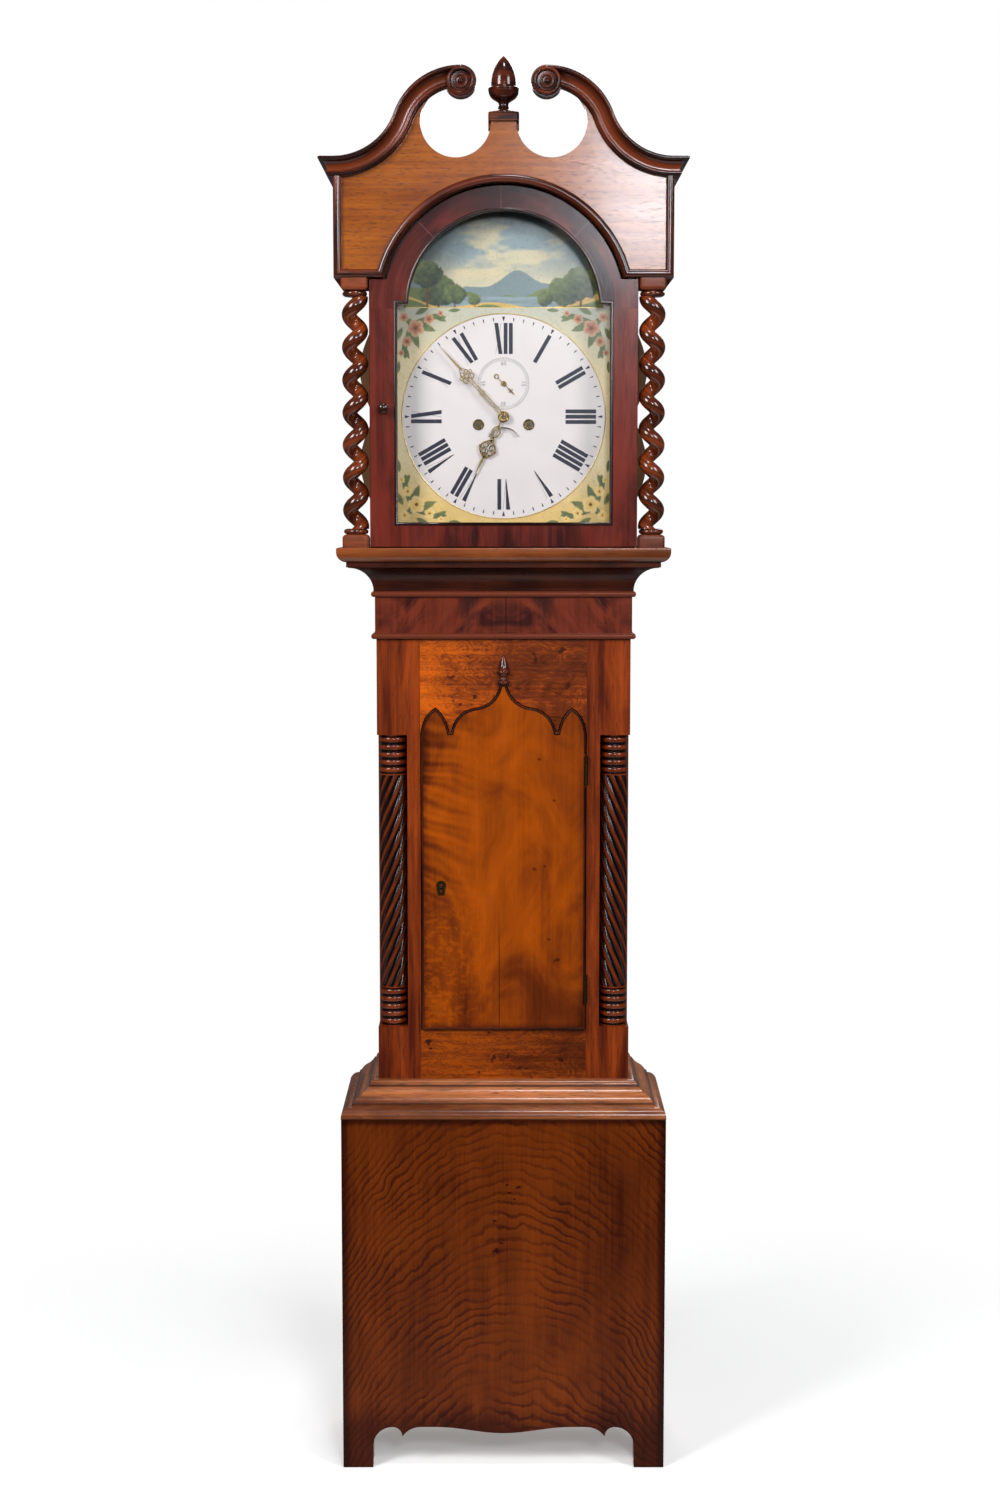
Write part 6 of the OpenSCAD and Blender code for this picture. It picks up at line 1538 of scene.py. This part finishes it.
class CLOCK_OT_stage(bpy.types.Operator):
    """Sets the floor, the lights and the camera"""

    bl_idname = "clock.stage"
    bl_label = "Stage"

    def execute(self, context):
        scene = context.scene
        camera = bpy.data.cameras.new("camera")
        camera.sensor_fit, camera.sensor_width, camera.lens = "HORIZONTAL", 36.0, 83.4
        camera.clip_start, camera.clip_end = 0.05, 60.0
        view = bpy.data.objects.new("camera", camera)
        view.location, view.rotation_euler = (-0.0057, -3.779, 1.571), (math.radians(84.0), 0, 0)
        scene.collection.objects.link(view)
        scene.camera = view

        # Floor: pale near the clock, and further out it fades into the white behind
        f = Finish("pale_floor", roughness=0.9, specular=0.0)
        x, y, _ = f.axes()
        away = (x ** 2 + y ** 2).root()
        f.set("Base Color", f.mix((0.92, 0.92, 0.92), (0.9, 0.9, 0.9), f.noise(f.place(), 3, 3)))
        f.set("Emission Color", (1, 1, 1, 1))
        f.set("Emission Strength", 0.25)
        f.set("Alpha", 1 - away.smooth(0.45, 1.5))
        mesh = bpy.data.meshes.new("floor")
        mesh.from_pydata([(-12, -12, -0.0005), (12, -12, -0.0005), (12, 12, -0.0005), (-12, 12, -0.0005)], [],
                         [(0, 1, 2, 3)])
        mesh.materials.append(f.material)
        floor = bpy.data.objects.new("floor", mesh)
        scene.collection.objects.link(floor)

        for name, place_at, aim, energy, size_x, size_y in (
                ("key", (-2.5, -2.7, 3.3), (0, 0, 1.2), 130, 1.3, 1.6),
                ("fill", (2.7, -2.6, 3.1), (0, 0, 1.1), 80, 1.2, 1.6),
                ("window", (0.60, -4.0, 2.62), (0.1, 0, 1.9), 48, 0.58, 0.58),
                ("over", (0.30, -1.45, 5.4), (0.1, 0, 0.65), 40, 0.6, 0.5),
                ("back", (0.3, 3.0, 3.4), (0, 0, 1.4), 55, 2.0, 2.0)):
            light = bpy.data.lights.new(name, "AREA")
            light.shape, light.size, light.size_y, light.energy = "RECTANGLE", size_x, size_y, energy
            if name == "window":
                light.color = (0.86, 0.93, 1.0)
            lamp = bpy.data.objects.new(name, light)
            lamp.location = place_at
            way = np.array(aim) - np.array(place_at)
            lamp.rotation_mode = "QUATERNION"
            lamp.rotation_quaternion = Vector(way).to_track_quat("-Z", "Y")
            scene.collection.objects.link(lamp)

        world = bpy.data.worlds.new("studio")
        scene.world = world
        world.use_nodes = True
        tree = world.node_tree
        tree.nodes.clear()
        seen = tree.nodes.new("ShaderNodeLightPath")
        mixer = tree.nodes.new("ShaderNodeMixShader")
        out = tree.nodes.new("ShaderNodeOutputWorld")
        for k, (level, colour) in enumerate(((0.085, (0.96, 0.97, 1.0, 1)), (1.0, (1, 1, 1, 1)))):
            ground = tree.nodes.new("ShaderNodeBackground")
            ground.inputs[0].default_value, ground.inputs[1].default_value = colour, level
            tree.links.new(ground.outputs[0], mixer.inputs[k + 1])
        tree.links.new(seen.outputs["Is Camera Ray"], mixer.inputs[0])
        tree.links.new(mixer.outputs[0], out.inputs[0])
        scene.view_settings.view_transform = "Standard"
        return {"FINISHED"}


class CLOCK_PT_panel(bpy.types.Panel):
    """Lists the pieces of the clock"""

    bl_label = "Longcase clock"
    bl_idname = "CLOCK_PT_panel"
    bl_space_type = "VIEW_3D"
    bl_region_type = "UI"
    bl_category = "Clock"

    def draw(self, context):
        for group in (context.scene.clock_sizes, context.scene.clock_colours):
            box = self.layout.box()
            for name in group.__annotations__:
                box.prop(group, name)
        for operator in OPERATORS:
            self.layout.operator(operator.bl_idname)


OPERATORS = (CLOCK_OT_stage, CLOCK_OT_lines, CLOCK_OT_finishes, CLOCK_OT_mouldings, CLOCK_OT_necks,
             CLOCK_OT_twist_columns, CLOCK_OT_rope_columns, CLOCK_OT_turnings, CLOCK_OT_dial, CLOCK_OT_hands)
CLASSES = (ClockSizes, ClockColours, *OPERATORS, CLOCK_PT_panel)


def register():
    for cls in CLASSES:
        bpy.utils.register_class(cls)
    bpy.types.Scene.clock_sizes = PointerProperty(type=ClockSizes)
    bpy.types.Scene.clock_colours = PointerProperty(type=ClockColours)


def unregister():
    del bpy.types.Scene.clock_sizes, bpy.types.Scene.clock_colours
    for cls in reversed(CLASSES):
        bpy.utils.unregister_class(cls)


def main():
    """Builds everything in order."""
    register()
    for operator in OPERATORS:
        group, name = operator.bl_idname.split(".")
        getattr(getattr(bpy.ops, group), name)()


if __name__ == "__main__":
    main()
